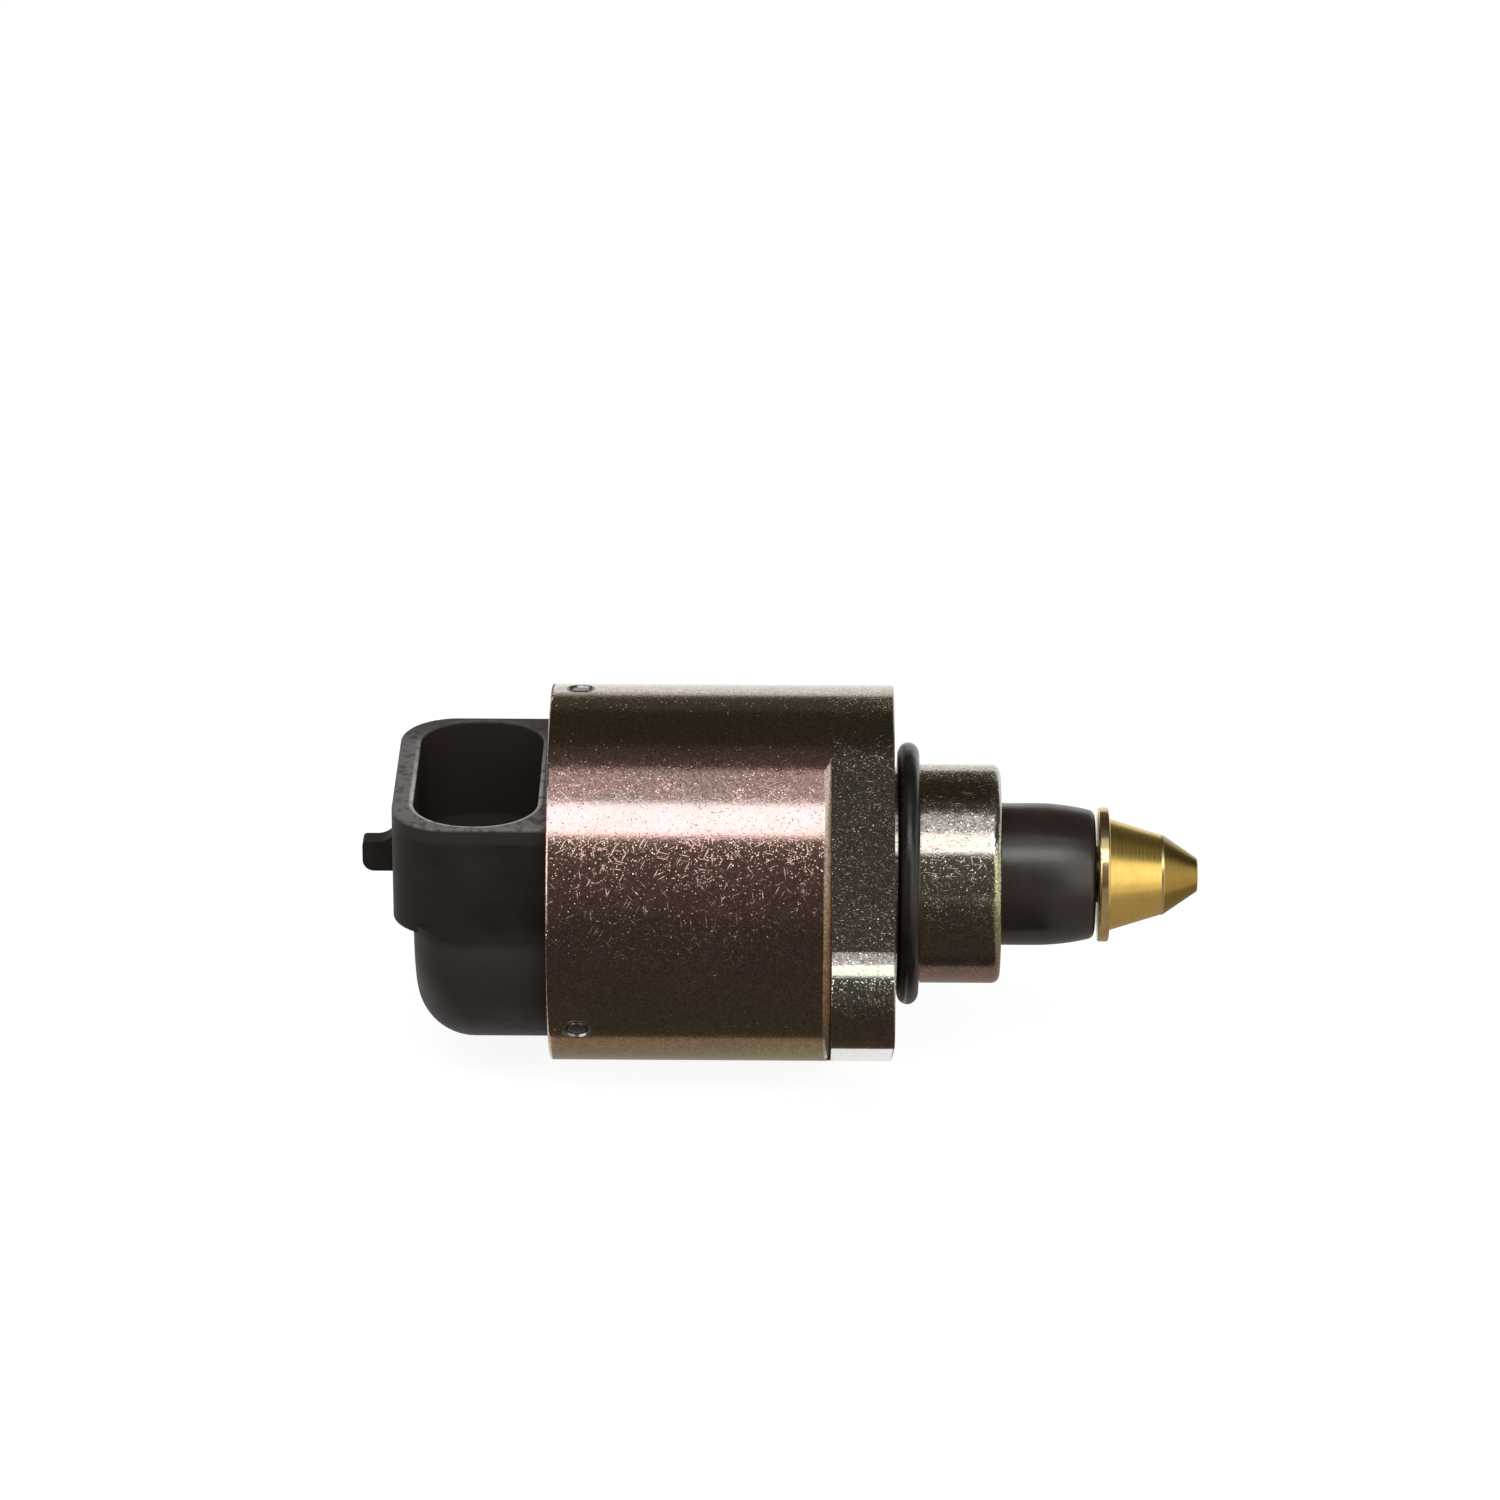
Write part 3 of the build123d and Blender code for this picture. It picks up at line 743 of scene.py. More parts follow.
@dataclass(frozen=True)
class Turned(Finish):
    """Turned or ground metal with tool rings around the valve's axis."""

    swing: tuple[float, float] = (0.07, -0.04)
    depth: float = 0.003 * MM
    deep: Colour = (0.3, 0.2, 0.06)  # Colour in the rings' grooves and in stains
    pitch: float = 0.09 * MM
    stain: Band = (0.45, 0.75, 0.0, 0.45)
    groove: Band = (0.3, 0.6, 0.2, 0.0)
    # Place along the axis of a narrow land that carries a painted highlight line, ahead of which the skin
    # is darker, or None
    land: Optional[float] = None
    # Darkening ahead of the land, and the width and colour of the land's painted highlight
    tip: Band = (0.0, 0.2 * MM, 0.0, 0.75)
    tip_tone: float = 0.45
    land_width: Band = (0.06 * MM, 0.2 * MM, 0.7, 0.0)
    pale: Colour = (0.68, 0.52, 0.3)

    def paint(self, bench: Bench) -> Inputs:
        """Lay out rings, stains, the darker tip and the land's painted highlight.

        Args:
            bench: Bench of the material.

        Returns:
            What varies over the surface.
        """
        rings = SHELF.use(bench, Effect.TURNING, pitch=self.pitch)
        stain = bench.span(self.clouds(bench, scale=500.0), *self.stain)
        marks = bench.sum("MAXIMUM", stain, bench.span(rings, *self.groove))
        skin = bench.blend(marks, self.colour, self.deep)
        if self.land is not None:
            beyond = bench.sum("SUBTRACT", bench.split(bench.place())[0], self.land)
            skin = bench.blend(bench.span(beyond, *self.tip), skin, tone(self.deep, self.tip_tone))
            # Painted highlight line along the land.
            off = bench.sum("ABSOLUTE", beyond)
            skin = bench.blend(bench.span(off, *self.land_width), skin, self.pale)
        return {
            "Base Color": skin,
            "Roughness": self.uneven(bench, rings),
            "Normal": bench.relief(rings, self.depth),
        }


@dataclass(frozen=True)
class PressedMetal(Finish):
    """Sheet metal with faint rolling tone and small scratches."""

    depth: float = 0.004 * MM
    dull: Band = (0.35, 0.65)
    dull_tone: float = 0.72
    frost: float = 0.15  # Added roughness in a scratch

    def paint(self, bench: Bench) -> Inputs:
        """Lay out tone and scratches.

        Args:
            bench: Bench of the material.

        Returns:
            What varies over the surface.
        """
        scratch = SHELF.use(bench, Effect.SCRATCHES, length=2.5 * MM, width=0.2 * MM)
        dull = bench.span(self.clouds(bench, scale=400.0), *self.dull)
        return {
            "Base Color": bench.blend(dull, self.colour, tone(self.colour, self.dull_tone)),
            "Roughness": bench.sum("ADD", bench.times(scratch, self.frost), self.roughness),
            "Normal": bench.relief(scratch, self.depth),
        }


@dataclass(frozen=True)
class Sintered(Finish):
    """Pressed and fired powder with open pores."""

    pore: Colour = (0.02, 0.02, 0.02)
    pore_rough: float = 0.25
    dull: Band = (*CLOUDY, 0.0, 0.6)
    dull_tone: float = 0.6

    def paint(self, bench: Bench) -> Inputs:
        """Lay out pores and tone.

        Args:
            bench: Bench of the material.

        Returns:
            What varies over the surface.
        """
        pores = SHELF.use(bench, Effect.SPECKS, scale=3200.0, size=0.4, share=0.35)
        dull = bench.span(self.clouds(bench, scale=900.0), *self.dull)
        skin = bench.blend(dull, self.colour, tone(self.colour, self.dull_tone))
        return {
            "Base Color": bench.blend(pores, skin, self.pore),
            "Roughness": bench.sum("ADD", bench.times(pores, self.pore_rough), self.roughness),
            "Normal": bench.relief(bench.sum("SUBTRACT", 1.0, pores), self.depth),
        }


ZINC = PassivatedZinc("passivated zinc", Tint.BROWN.value, 0.15, 1.0)
CAP_PLASTIC = SocketMoulding(
    "connector moulding", (0.03, 0.0238, 0.021), 0.55, gloss=0.08, rubbed=(0.165, 0.159, 0.157)
)
GUIDE_PLASTIC = Moulding(
    "guide moulding", (0.022, 0.0145, 0.0115), 0.27, gloss=0.7, grain=1800.0, depth=0.006 * MM
)
BOBBIN_PLASTIC = Moulding("bobbin moulding", (0.72, 0.68, 0.58), 0.5, rubbed=(0.8, 0.77, 0.68))
HUB_PLASTIC = Moulding("hub moulding", (0.11, 0.10, 0.09), 0.5)
CAGE_PLASTIC = Moulding("cage moulding", (0.78, 0.74, 0.62), 0.45, rubbed=(0.85, 0.82, 0.74))
RUBBER = Elastomer("seal rubber", (0.010, 0.009, 0.0085), 0.27)
PINTLE_BRASS = Turned(
    "pintle brass", (0.85, 0.62, 0.18), 0.27, 1.0, deep=(0.5, 0.3, 0.06), depth=0.0007 * MM, land=22.85 * MM
)
WASHER_PLATE = Turned("washer plate", (0.74, 0.58, 0.28), 0.18, 1.0, deep=(0.32, 0.22, 0.08))
NUT_BRASS = Turned("nut brass", (0.78, 0.58, 0.24), 0.3, 1.0)
SCREW_STEEL = Turned("screw steel", (0.6, 0.6, 0.59), 0.28, 1.0, deep=(0.35, 0.34, 0.33))
RACE_STEEL = Turned("race steel", (0.72, 0.72, 0.73), 0.16, 1.0, deep=(0.5, 0.5, 0.5))
POLE_STEEL = PressedMetal("pole steel", (0.55, 0.55, 0.53), 0.36, 1.0)
PUNCHED = PressedMetal("punched plate", (0.27, 0.27, 0.26), 0.27, 1.0)
SPRING_STEEL = PressedMetal("spring steel", (0.38, 0.40, 0.44), 0.28, 1.0)
TERMINAL_TIN = PressedMetal("tinned blade", (0.72, 0.71, 0.68), 0.3, 1.0)
MAGNET = Sintered("sintered magnet", (0.085, 0.085, 0.09), 0.55)
BUSH = Sintered("sintered bush", (0.46, 0.3, 0.15), 0.42, 1.0, pore=(0.1, 0.06, 0.03))
WIRE = Turned("enamelled wire", (0.62, 0.24, 0.1), 0.24, 1.0, deep=(0.42, 0.13, 0.05))


def clear_selection() -> None:
    """Deselect every object."""
    bpy.ops.object.select_all(action="DESELECT")


def smooth(angle: float) -> None:
    """Shade the active object smooth, apart from edges over an angle in degrees."""
    bpy.ops.object.shade_smooth_by_angle(angle=math.radians(angle))


@contextmanager
def editing() -> Iterator[None]:
    """Edit the active object with all of it selected."""
    bpy.ops.object.mode_set(mode="EDIT")
    bpy.ops.mesh.select_all(action="SELECT")
    yield
    bpy.ops.object.mode_set(mode="OBJECT")


@contextmanager
def editing_faces(piece: Piece, test: Callable[[bpy.types.MeshPolygon], bool]) -> Iterator[None]:
    """Edit the active object with some faces selected.

    Args:
        piece: The active object.
        test: Tells whether a face is wanted.
    """
    bpy.ops.object.mode_set(mode="EDIT")
    bpy.ops.mesh.select_mode(type="FACE")
    bpy.ops.mesh.select_all(action="DESELECT")
    bpy.ops.object.mode_set(mode="OBJECT")
    for face in piece.data.polygons:
        face.select = test(face)
    bpy.ops.object.mode_set(mode="EDIT")
    yield
    bpy.ops.object.mode_set(mode="OBJECT")


def active(name: str) -> Piece:
    """Name the object that was just added and settle it at the origin.

    Args:
        name: Name of the piece.

    Returns:
        The object.
    """
    piece = bpy.context.object
    piece.name = piece.data.name = name
    bpy.ops.object.transform_apply(location=True, rotation=True, scale=True)
    return piece


def round_bar(name: str, rear: float, front: float, radius: float, sides: int = 64) -> Piece:
    """Add a round bar about X to start from.

    Args:
        name: Name of the piece.
        rear: Its rear end.
        front: Its front end.
        radius: Its radius.
        sides: Flat sides around it.

    Returns:
        The bar.
    """
    clear_selection()
    bpy.ops.mesh.primitive_cylinder_add(
        vertices=sides,
        radius=radius,
        depth=front - rear,
        location=((rear + front) / 2, 0, 0),
        rotation=(0, math.pi / 2, 0),
    )
    return active(name)


def cut(at: tuple, away: tuple) -> None:
    """Cut the active object by a plane, drop one side and close the cut.

    Args:
        at: A point of the plane.
        away: Direction of the side that is dropped.
    """
    with editing():
        bpy.ops.mesh.bisect(
            plane_co=at, plane_no=away, use_fill=True, clear_outer=True, threshold=CUT_SNAP
        )


def mend() -> None:
    """Merge doubles and turn the faces of the active object, which is closed, outwards."""
    with editing():
        bpy.ops.mesh.remove_doubles(threshold=MERGE_SNAP)
        bpy.ops.mesh.normals_make_consistent(inside=False)


def soften(piece: Piece, width: float) -> None:
    """Bevel a piece's sharp edges and shade it smooth between them.

    Args:
        piece: The active object.
        width: Width of the bevel.
    """
    bevel = piece.modifiers.new("edges", "BEVEL")
    bevel.width = width
    bevel.segments = BEVEL_SEGMENTS
    bevel.limit_method = "ANGLE"
    bpy.ops.object.modifier_apply(modifier=bevel.name)
    smooth(angle=40)


def wind(piece: Piece, pitch: float, turns: int, steps: int) -> None:
    """Sweep a section round the X axis in a helix.

    Args:
        piece: The active object, a section in the plane of X and Z.
        pitch: Advance in each turn.
        turns: Number of turns.
        steps: Steps in each turn.
    """
    helix = piece.modifiers.new("helix", "SCREW")
    helix.axis = "X"
    helix.screw_offset = pitch
    helix.iterations = turns
    helix.steps = helix.render_steps = steps
    helix.use_merge_vertices = False
    bpy.ops.object.modifier_apply(modifier=helix.name)


def unite(name: str, pieces: list[Piece]) -> Piece:
    """Join pieces into one object.

    Args:
        name: Name of the whole.
        pieces: Its parts.

    Returns:
        The whole.
    """
    clear_selection()
    for piece in pieces:
        piece.select_set(True)
    bpy.context.view_layer.objects.active = pieces[0]
    bpy.ops.object.join()
    return active(name)


def coat(piece: Piece, finish: Finish) -> None:
    """Give a piece one finish."""
    piece.data.materials.clear()
    piece.data.materials.append(finish.make())


def hand_over(piece: Piece, finish: Finish, body: str, node: Optional[str] = None) -> None:
    """Finish a new piece: its material, the body it rides on and the node it stands for.

    Args:
        piece: The piece.
        finish: Its finish.
        body: Body that it moves with.
        node: CAD node that it replaces, if any.
    """
    coat(piece, finish)
    if node:
        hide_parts(node)
    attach(piece, body)
    LOG.info("built %s with %s, %d faces", piece.name, finish.name, len(piece.data.polygons))


Coats = tuple[tuple[Finish, tuple[str, ...]], ...]


@dataclass
class Assembly:
    """Sub-assembly of the valve."""

    coats: Coats = ()  # Finishes, each with the CAD nodes that it goes on

    def build(self) -> None:
        """Model what is too fine for the CAD source, where there is any."""

    def dress(self) -> None:
        """Give the CAD nodes their finishes."""
        for finish, names in self.coats:
            for name in names:
                coat(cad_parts[name], finish)
                LOG.info("dressed %s with %s", name, finish.name)


@dataclass
class PunchMarks:
    """Round punch marks that hold the cap in the barrel."""

    along: float = -26.5 * MM  # Place along the axis
    angles: tuple[float, ...] = (-10.0, 122.0, 236.0)  # Turns about the axis from straight up, in degrees
    radius: float = 1.35 * MM
    barrel: float = 15.965 * MM  # Radius at which a mark stands, just under the barrel's
    sunk: float = 0.36 * MM  # How deep a mark is set in the wall
    # Insets from the outside in, each with its rise
    steps: tuple[tuple[float, float], ...] = (
        (0.13 * MM, 0.05 * MM),
        (0.10 * MM, 0.0),
        (0.10 * MM, -0.27 * MM),
        (0.18 * MM, 0.0),
        (0.10 * MM, 0.14 * MM),
        (0.12 * MM, 0.03 * MM),
    )
    sides: int = 48
    bevel: float = 0.04 * MM

    def build(self) -> None:
        """Model one mark and copy it round the barrel."""
        pattern = self.pattern()
        for number, angle in enumerate(self.angles, 1):
            mark = pattern.copy()
            mark.data = pattern.data.copy()
            mark.name = mark.data.name = f"punch_mark_{number}"
            bpy.context.scene.collection.objects.link(mark)
            mark.data.transform(Matrix.Rotation(math.radians(angle), 4, "X"))
            hand_over(mark, PUNCHED, "valve_body")
        bpy.data.objects.remove(pattern)

    def pattern(self) -> Piece:
        """Model a mark on top of the barrel: a raised lip, a ring groove and a flat pad.

        Returns:
            The mark.
        """
        clear_selection()
        middle = self.barrel - self.sunk / 2
        bpy.ops.mesh.primitive_cylinder_add(
            vertices=self.sides, radius=self.radius, depth=self.sunk, location=(self.along, 0, middle)
        )
        piece = active("punch_mark")
        with editing_faces(piece, lambda face: face.normal.z > END_FACE):
            for inset, rise in self.steps:
                bpy.ops.mesh.inset(thickness=inset, depth=rise)
        soften(piece, self.bevel)
        return piece


@dataclass
class ValveBody(Assembly):
    """Plated body with its punch marks and rubber seals."""

    coats: Coats = ((ZINC, ("housing",)), (RUBBER, ("mount_seal", "cap_seal")))
    marks: PunchMarks = field(default_factory=PunchMarks)

    def build(self) -> None:
        """Model the punch marks."""
        self.marks.build()


@dataclass
class ConnectorCap(Assembly):
    """Moulded cap with its four blades."""

    coats: Coats = (
        (CAP_PLASTIC, ("connector_cap",)),
        (TERMINAL_TIN, ("terminal_1", "terminal_2", "terminal_3", "terminal_4")),
    )


@dataclass
class Stator(Assembly):
    """Claw-pole plates, bobbins and wound coils of the two phases."""

    coats: Coats = (
        (POLE_STEEL, ("front_outer_pole", "front_inner_pole", "rear_outer_pole", "rear_inner_pole")),
        (BOBBIN_PLASTIC, ("front_bobbin", "rear_bobbin")),
    )
    phases: tuple[str, ...] = ("front", "rear")
    wire: float = 0.3 * MM  # Pitch of the wire's turns
    wire_gap: float = 0.004 * MM  # Half the gap between two turns
    wire_sides: int = 8
    proud: float = 0.8  # How far the outer layer stands over the inner ones, as a share of the pitch
    coil_bore: float = 8.85 * MM  # Inner radius of a coil
    steps: int = 56  # Steps in each turn of wire

    def build(self) -> None:
        """Wind both coils."""
        for phase in self.phases:
            node = f"{phase}_coil"
            low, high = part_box(node)
            core = self.core(low.x, high.x, high.z - self.proud * self.wire)
            layer = self.layer(low.x, high.x, high.z)
            coil = unite(f"{phase}_winding", [core, layer])
            hand_over(coil, WIRE, "valve_body", node)

    def core(self, rear: float, front: float, radius: float) -> Piece:
        """Model the inner layers as one ring.

        Args:
            rear: Rear end.
            front: Front end.
            radius: Outer radius.

        Returns:
            The ring.
        """
        ring = round_bar("inner_layers", rear, front, radius)
        with editing_faces(ring, lambda face: abs(face.normal.x) > END_FACE):
            bpy.ops.mesh.inset(thickness=radius - self.coil_bore)
            bpy.ops.mesh.delete(type="FACE")
            bpy.ops.mesh.select_mode(type="EDGE")
            bpy.ops.mesh.select_non_manifold()
            bpy.ops.mesh.bridge_edge_loops()
        mend()
        smooth(angle=40)
        return ring

    def layer(self, rear: float, front: float, radius: float) -> Piece:
        """Wind the outer layer of wire.

        Args:
            rear: Rear end.
            front: Front end.
            radius: Outer radius.

        Returns:
            The helix of wire.
        """
        clear_selection()
        bpy.ops.mesh.primitive_circle_add(
            vertices=self.wire_sides,
            radius=self.wire / 2 - self.wire_gap,
            location=(rear + self.wire / 2, 0, radius - self.wire / 2),
            rotation=(math.pi / 2, 0, 0),
        )
        helix = active("outer_layer")
        wind(helix, self.wire, int((front - rear) / self.wire) - 1, self.steps)
        with editing():
            bpy.ops.mesh.fill_holes(sides=0)
        mend()
        smooth(angle=60)
        return helix


@dataclass
class Rotor(Assembly):
    """Magnet, hub and nut, with the bush and spring washer behind them."""

    coats: Coats = (
        (MAGNET, ("rotor_magnet",)),
        (HUB_PLASTIC, ("rotor_hub",)),
        (NUT_BRASS, ("screw_nut",)),
        (BUSH, ("rear_bush",)),
        (SPRING_STEEL, ("preload_washer",)),
    )


@dataclass
class FrontBearing(Assembly):
    """Ball bearing that takes the pintle's thrust."""

    coats: Coats = (
        (RACE_STEEL, ("bearing_outer_race", "bearing_inner_race", "bearing_balls")),
        (CAGE_PLASTIC, ("bearing_cage",)),
    )


@dataclass
class PintleDrive(Assembly):
    """Guide sleeve, threaded screw, washer and pintle."""

    coats: Coats = (
        (GUIDE_PLASTIC, ("guide_sleeve",)),
        (WASHER_PLATE, ("pintle_washer",)),
        (PINTLE_BRASS, ("pintle",)),
    )
    crest: float = 2.5 * MM  # Radius of the thread's crest and of the plain shaft
    root: float = 2.08 * MM  # Radius of the thread's root
    pitch: float = 1.0 * MM  # Advance in one turn
    # Outline of a tooth: runs as shares of the pitch, rises as shares of the thread's depth
    tooth: tuple[tuple[float, float], ...] = ((0.15, 0.0), (0.3, 1.0), (0.25, 0.0), (0.3, -1.0))
    flat: float = 2.0 * MM  # Half the width across the two flats
    flats_from: float = -8.28 * MM  # Where the flats begin
    thread_end: float = -4.6 * MM  # Where the thread runs out
    lap: float = 0.05 * MM  # Overlap of two lengths of the screw
    shaft_bevel: float = 0.08 * MM
    seat: float = 17.4 * MM  # Where the washer's seat ends the shaft
    spigot: float = 1.6 * MM  # Radius of the end that holds the pintle
    spigot_lap: float = 0.5 * MM  # Length of the spigot inside the shaft
    spigot_sides: int = 48
    spigot_bevel: float = 0.2 * MM
    steps: int = 48  # Steps in each turn of thread
    spare_turns: int = 2  # Turns that the end cuts take off

    def build(self) -> None:
        """Model the threaded screw in place of the plain one."""
        low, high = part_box("lead_screw")
        full = self.thread("screw_thread", low.x, self.flats_from)
        flatted = self.thread("flatted_thread", self.flats_from - self.lap, self.thread_end)
        self.flatten()
        shaft = round_bar("plain_shaft", self.thread_end - self.lap, self.seat, self.crest)
        self.flatten()
        soften(shaft, self.shaft_bevel)
        spigot = round_bar("spigot", self.seat - self.spigot_lap, high.x, self.spigot, self.spigot_sides)
        soften(spigot, self.spigot_bevel)
        screw = unite("threaded_screw", [shaft, full, flatted, spigot])
        hand_over(screw, SCREW_STEEL, "pintle_shaft", "lead_screw")

    def thread(self, name: str, rear: float, front: float) -> Piece:
        """Model a threaded length: a tooth's outline, wound in a helix and cut square at both ends.

        Args:
            name: Name of the piece.
            rear: Rear end.
            front: Front end.

        Returns:
            The threaded length.
        """
        clear_selection()
        bpy.ops.mesh.primitive_plane_add(size=self.pitch, location=(rear - self.pitch, 0, self.root))
        piece = active(name)
        with editing():
            bpy.ops.mesh.merge(type="CENTER")
            bpy.ops.mesh.select_mode(type="VERT")
            bpy.ops.mesh.select_all(action="SELECT")
            for run, rise in self.tooth:
                step = (run * self.pitch, 0, rise * (self.crest - self.root))
                bpy.ops.mesh.extrude_vertices_move(TRANSFORM_OT_translate={"value": step})
        turns = math.ceil((front - rear) / self.pitch) + self.spare_turns
        wind(piece, self.pitch, turns, self.steps)
        mend()
        cut((rear, 0, 0), (-1, 0, 0))
        cut((front, 0, 0), (1, 0, 0))
        mend()
        smooth(angle=30)
        return piece

    def flatten(self) -> None:
        """Cut the two flats of the active object."""
        for side in (1, -1):
            cut((0, 0, side * self.flat), (0, 0, side))
        mend()


def toward(elevation: float, azimuth: float) -> Vector:
    """Direction from the valve, up from the camera's horizon and to its right, in degrees."""
    up, side = math.radians(elevation), math.radians(azimuth)
    return Vector((math.cos(up) * math.sin(side), -math.cos(up) * math.cos(side), math.sin(up)))


def stand(name: str, data: bpy.types.ID, place: Vector) -> Piece:
    """Put a lamp or camera in the scene.

    Args:
        name: Its name.
        data: The lamp's or camera's data.
        place: Where it stands.

    Returns:
        The object.
    """
    thing = bpy.data.objects.new(name, data)
    bpy.context.scene.collection.objects.link(thing)
    thing.location = place
    return thing


@dataclass(frozen=True)
class SoftBox:
    """Soft box that faces the valve."""

    name: str
    low: float  # Elevation of its lower edge on the camera's side, in degrees
    high: float  # Elevation of its upper edge, in degrees
    azimuth: float  # Degrees to the right of the camera
    width: float
    level: float  # Brightness of its face, where 1 is white
    colour: Colour = (1.0, 1.0, 1.0)
    reach: float = 0.5  # Distance from the valve
    mirrored: bool = False  # Whether it shows in reflections only

    def build(self, centre: Vector) -> None:
        """Add the lamp.

        Args:
            centre: Point that it faces.
        """
        height = 2 * self.reach * math.tan(math.radians((self.high - self.low) / 2))
        light = bpy.data.lights.new(self.name, "AREA")
        light.shape = "RECTANGLE"
        light.size, light.size_y = self.width, height
        light.energy = self.level * math.pi * self.width * height
        light.color = self.colour
        direction = toward((self.low + self.high) / 2, self.azimuth)
        lamp = stand(self.name, light, centre + direction * self.reach)
        lamp.rotation_euler = direction.to_track_quat("Z", "Y").to_euler()
        lamp.visible_diffuse = not self.mirrored


@dataclass(frozen=True)
class DarkCard:
    """Dark card that shows in reflections only."""

    name: str
    level: float  # Brightness, where 1 is white
    colour: Colour = (1.0, 0.88, 0.78)
    radius: float = 0.62  # Distance of a curved card from the axis
    width: float = 2.4  # Width of a curved card along the axis
    sides: int = 180  # Flat sides in a whole turn of a curved card

    def settle(self, card: Piece) -> None:
        """Paint a card and hide it from all but reflections.

        Args:
            card: The card.
        """
        material, bench, surface = new_material(self.name)
        bench.feed(surface, {"Base Color": (0.0, 0.0, 0.0), "Specular IOR Level": 0.0})
        bench.feed(surface, {"Emission Color": self.colour, "Emission Strength": self.level})
        material.cycles.emission_sampling = "NONE"
        card.data.materials.append(material)
        card.visible_camera = card.visible_diffuse = False
        card.visible_shadow = card.visible_transmission = False

    def bend(self, low: float, high: float) -> None:
        """Model it as a curved card around the valve's axis.

        Args:
            low: Elevation of its lower edge on the camera's side, in degrees.
            high: Elevation of its upper edge, in degrees.
        """
        card = round_bar(self.name, -self.width / 2, self.width / 2, self.radius, self.sides)
        with editing_faces(
            card,
            lambda face: abs(face.normal.x) > END_FACE
            or not low <= math.degrees(math.atan2(face.center.z, -face.center.y)) <= high,
        ):
            bpy.ops.mesh.delete(type="FACE")
        self.settle(card)

    def lay(self, rear: float, front: float, near: float, far: float, level: float) -> None:
        """Model it as a flat card on the floor.

        Args:
            rear: Lowest X.
            front: Highest X.
            near: Lowest Y.
            far: Highest Y.
            level: Height of the card.
        """
        clear_selection()
        middle = ((rear + front) / 2, (near + far) / 2, level)
        bpy.ops.mesh.primitive_plane_add(size=1.0, location=middle)
        bpy.context.object.scale = (front - rear, far - near, 1.0)
        self.settle(active(self.name))


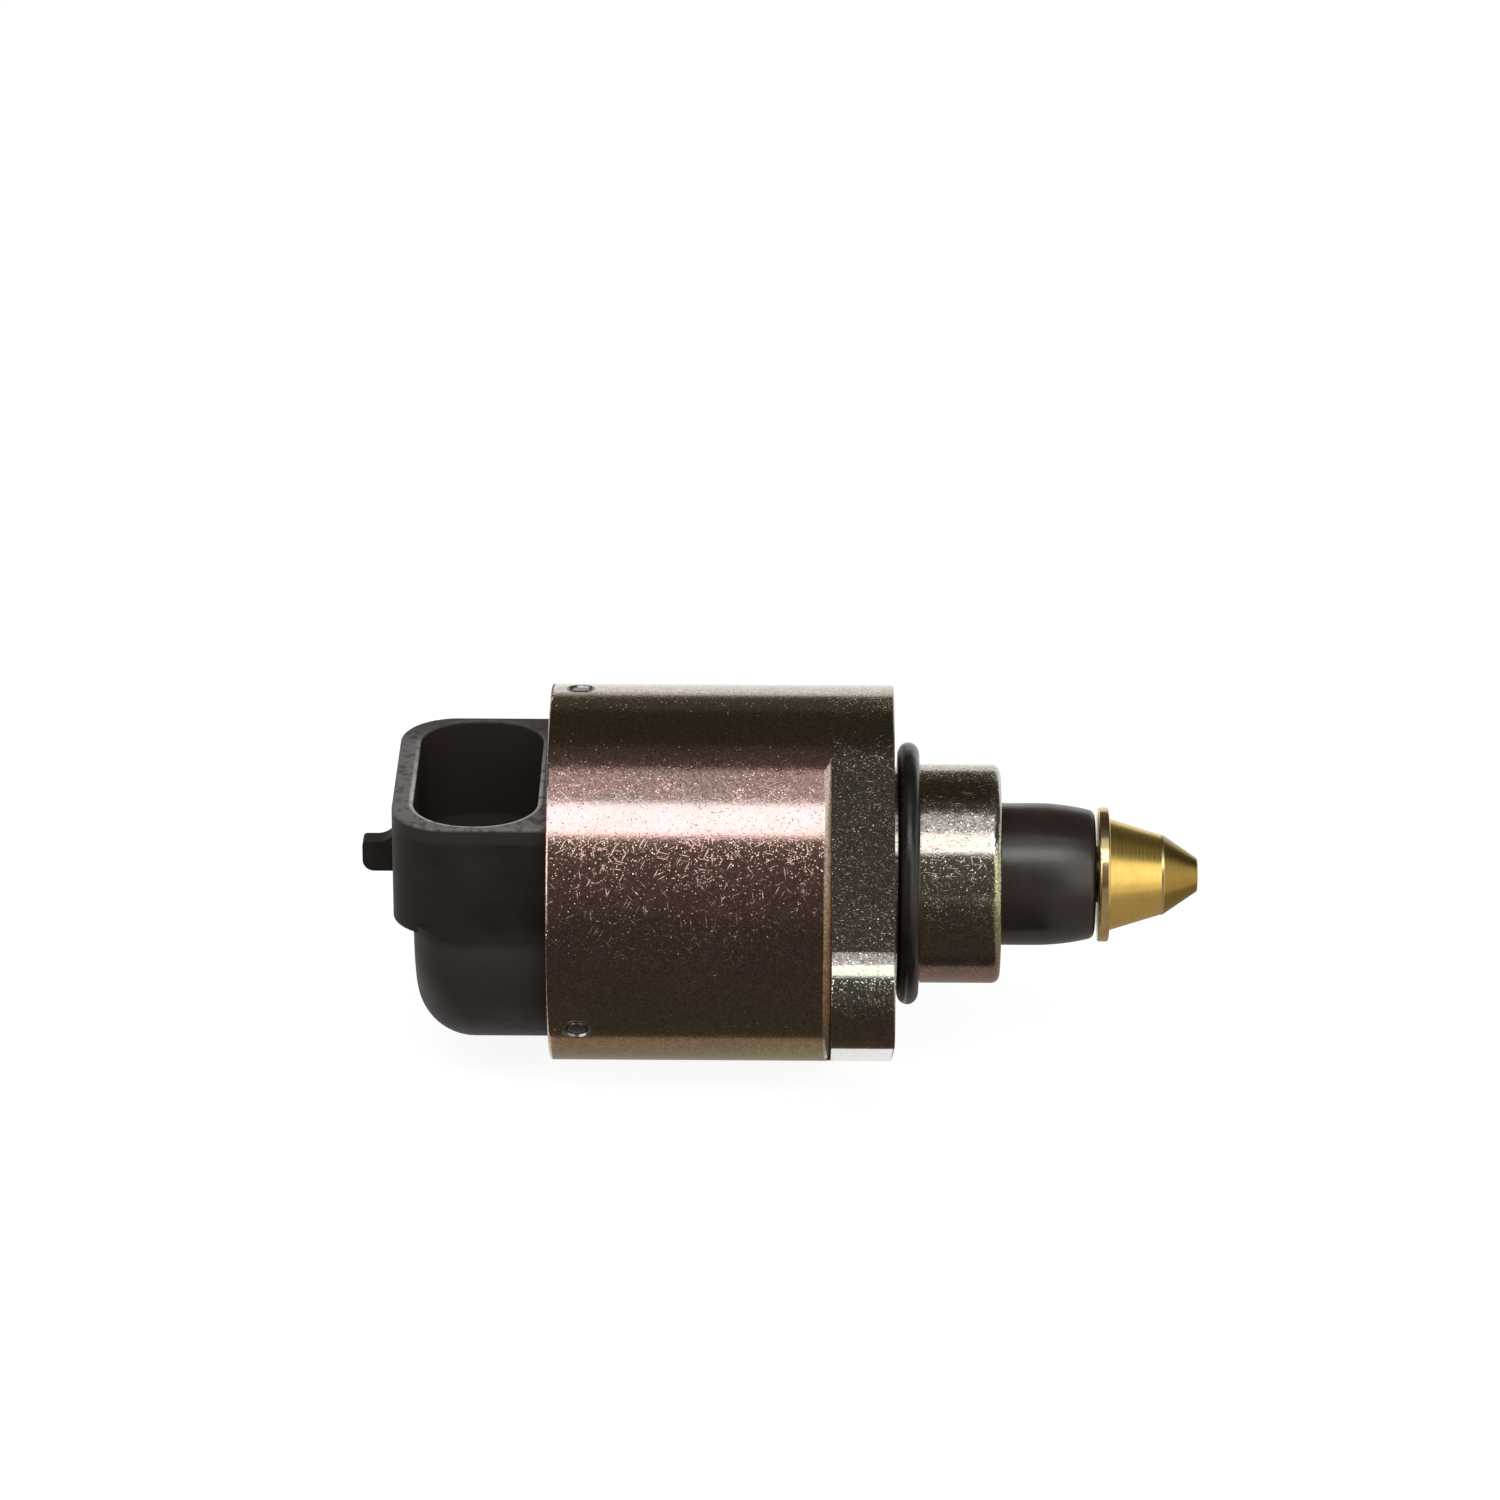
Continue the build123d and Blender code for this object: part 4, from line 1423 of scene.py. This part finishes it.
@dataclass
class Studio:
    """Floor, lamps, dark cards and camera."""

    floor_level: float = -16.05 * MM
    floor_size: float = 12.0
    floor_tone: Colour = (0.25, 0.25, 0.25)
    floor_glow: float = 0.9  # Share of the floor's white that shadow does not take
    # Foot point: where the camera faces the valve's axis squarely
    foot: Vector = field(default_factory=lambda: Vector((-7.0 * MM, 0, 0)))
    distance: float = 596 * MM  # Camera's distance from its foot point
    elevation: float = 24.3  # Camera's height above the horizon, in degrees
    # Point at the middle of the picture
    aim: Vector = field(default_factory=lambda: Vector((-12.19 * MM, 4.27 * MM, 9.5 * MM)))
    sensor: float = 36.0  # Width of the camera's sensor, in millimetres
    lens: float = 168.0  # Focal length, in millimetres
    clip: tuple[float, float] = (0.01, 50.0)  # Nearest and farthest distance that the camera sees
    roll: float = 0.1  # Camera's roll, in degrees
    ambient: float = 0.45  # Level of the light from all around
    lamps: tuple[SoftBox, ...] = (
        SoftBox("key", 46.0, 66.0, 0.0, 0.44, 3.5),
        SoftBox("middle", 66.5, 80.0, 0.0, 0.44, 0.78),
        SoftBox("top", 80.5, 88.0, 0.0, 0.44, 0.85),
        SoftBox("side", 0.0, 44.0, 40.0, 0.38, 1.35, (1.0, 0.94, 0.85)),
        SoftBox("left", 0.0, 52.0, -54.0, 0.5, 2.8, mirrored=True),
    )
    # Lower and upper elevation and level of each curved card
    surrounds: tuple[tuple[float, float, float], ...] = (
        (-75.0, 12.0, 0.115),
        (12.0, 24.0, 0.14),
        (24.0, 46.0, 0.155),
        (46.0, 88.0, 0.05),
        (88.0, 106.0, 0.115),
        (106.0, 140.0, 0.058),
        (140.0, 161.0, 0.11),
    )
    card_gap: float = 0.02 * MM  # Height of the flat cards over the floor
    # Name and level of each flat card, then its lowest and highest X and Y
    tables: tuple[tuple[str, float, float, float, float, float], ...] = (
        ("front", 0.088, -0.09, 0.015, -0.62, -0.012),
        ("left", 0.9, -0.8, -0.09, -0.41, -0.012),
        # The barrel, nose edge and nose cards lie under the valve: a painted shadow, standing in for the
        # floor's shade there as the metal mirrors it.
        ("barrel", 0.37, -0.029, -0.0055, -0.012, 0.02),
        ("nose edge", 0.06, 0.0006, 0.015, -0.012, -0.0075),
        ("nose", 0.32, 0.0006, 0.015, -0.0075, 0.02),
        ("right", 0.36, 0.015, 0.05, -0.41, 0.02),
        ("far right", 0.9, 0.05, 0.4, -0.41, 0.02),
    )

    def build(self) -> None:
        """Set up the whole studio."""
        bpy.context.scene.view_settings.view_transform = "Standard"
        self.world()
        self.floor()
        for lamp in self.lamps:
            lamp.build(self.foot)
        for low, high, level in self.surrounds:
            DarkCard(f"surrounding card from {low:.0f}", level).bend(low, high)
        for name, level, *sides in self.tables:
            DarkCard(f"{name} table card", level).lay(*sides, self.floor_level + self.card_gap)
        self.camera()

    def seen(self, bench: Bench) -> Socket:
        """Mask of rays that see the background: camera, glossy and transmission rays.

        Args:
            bench: Bench of the world or the floor.

        Returns:
            The mask.
        """
        path = bench.put("LightPath").outputs
        straight = bench.sum("MAXIMUM", path["Is Camera Ray"], path["Is Glossy Ray"])
        return bench.sum("MAXIMUM", straight, path["Is Transmission Ray"])

    def world(self) -> None:
        """White surroundings to look at, with a lower level of light on the object."""
        world = bpy.data.worlds.new("studio")
        bpy.context.scene.world = world
        world.use_nodes = True
        bench = Bench(world.node_tree)
        strength = bench.span(self.seen(bench), 0.0, 1.0, self.ambient, 1.0)
        background = world.node_tree.nodes["Background"]
        bench.feed(background, {"Color": (1.0, 1.0, 1.0), "Strength": strength})

    def floor(self) -> None:
        """Wide pale floor that keeps the valve's soft shadow."""
        clear_selection()
        bpy.ops.mesh.primitive_plane_add(size=self.floor_size, location=(0, 0, self.floor_level))
        floor = active("floor")
        material, bench, surface = new_material("pale floor")
        bench.feed(surface, {"Base Color": self.floor_tone, "Roughness": 1.0, "Specular IOR Level": 0.0})
        glow = bench.times(self.seen(bench), self.floor_glow)
        bench.feed(surface, {"Emission Color": (1.0, 1.0, 1.0), "Emission Strength": glow})
        material.cycles.emission_sampling = "NONE"
        floor.data.materials.append(material)

    def camera(self) -> None:
        """Camera at the photograph's viewing angle."""
        data = bpy.data.cameras.new("camera")
        data.sensor_width = self.sensor
        data.lens = self.lens
        data.clip_start, data.clip_end = self.clip
        camera = stand("camera", data, self.foot + toward(self.elevation, 0.0) * self.distance)
        look = (self.aim - camera.location).to_track_quat("-Z", "Y").to_matrix().to_4x4()
        camera.rotation_euler = (look @ Matrix.Rotation(math.radians(self.roll), 4, "Z")).to_euler()
        bpy.context.scene.camera = camera


def main() -> None:
    """Build every sub-assembly in order and report it."""
    logging.basicConfig(level=logging.INFO, format="%(message)s")
    for assembly in (ValveBody(), ConnectorCap(), Stator(), Rotor(), FrontBearing(), PintleDrive()):
        assembly.build()
        assembly.dress()
    Studio().build()


if __name__ == "__main__":
    main()
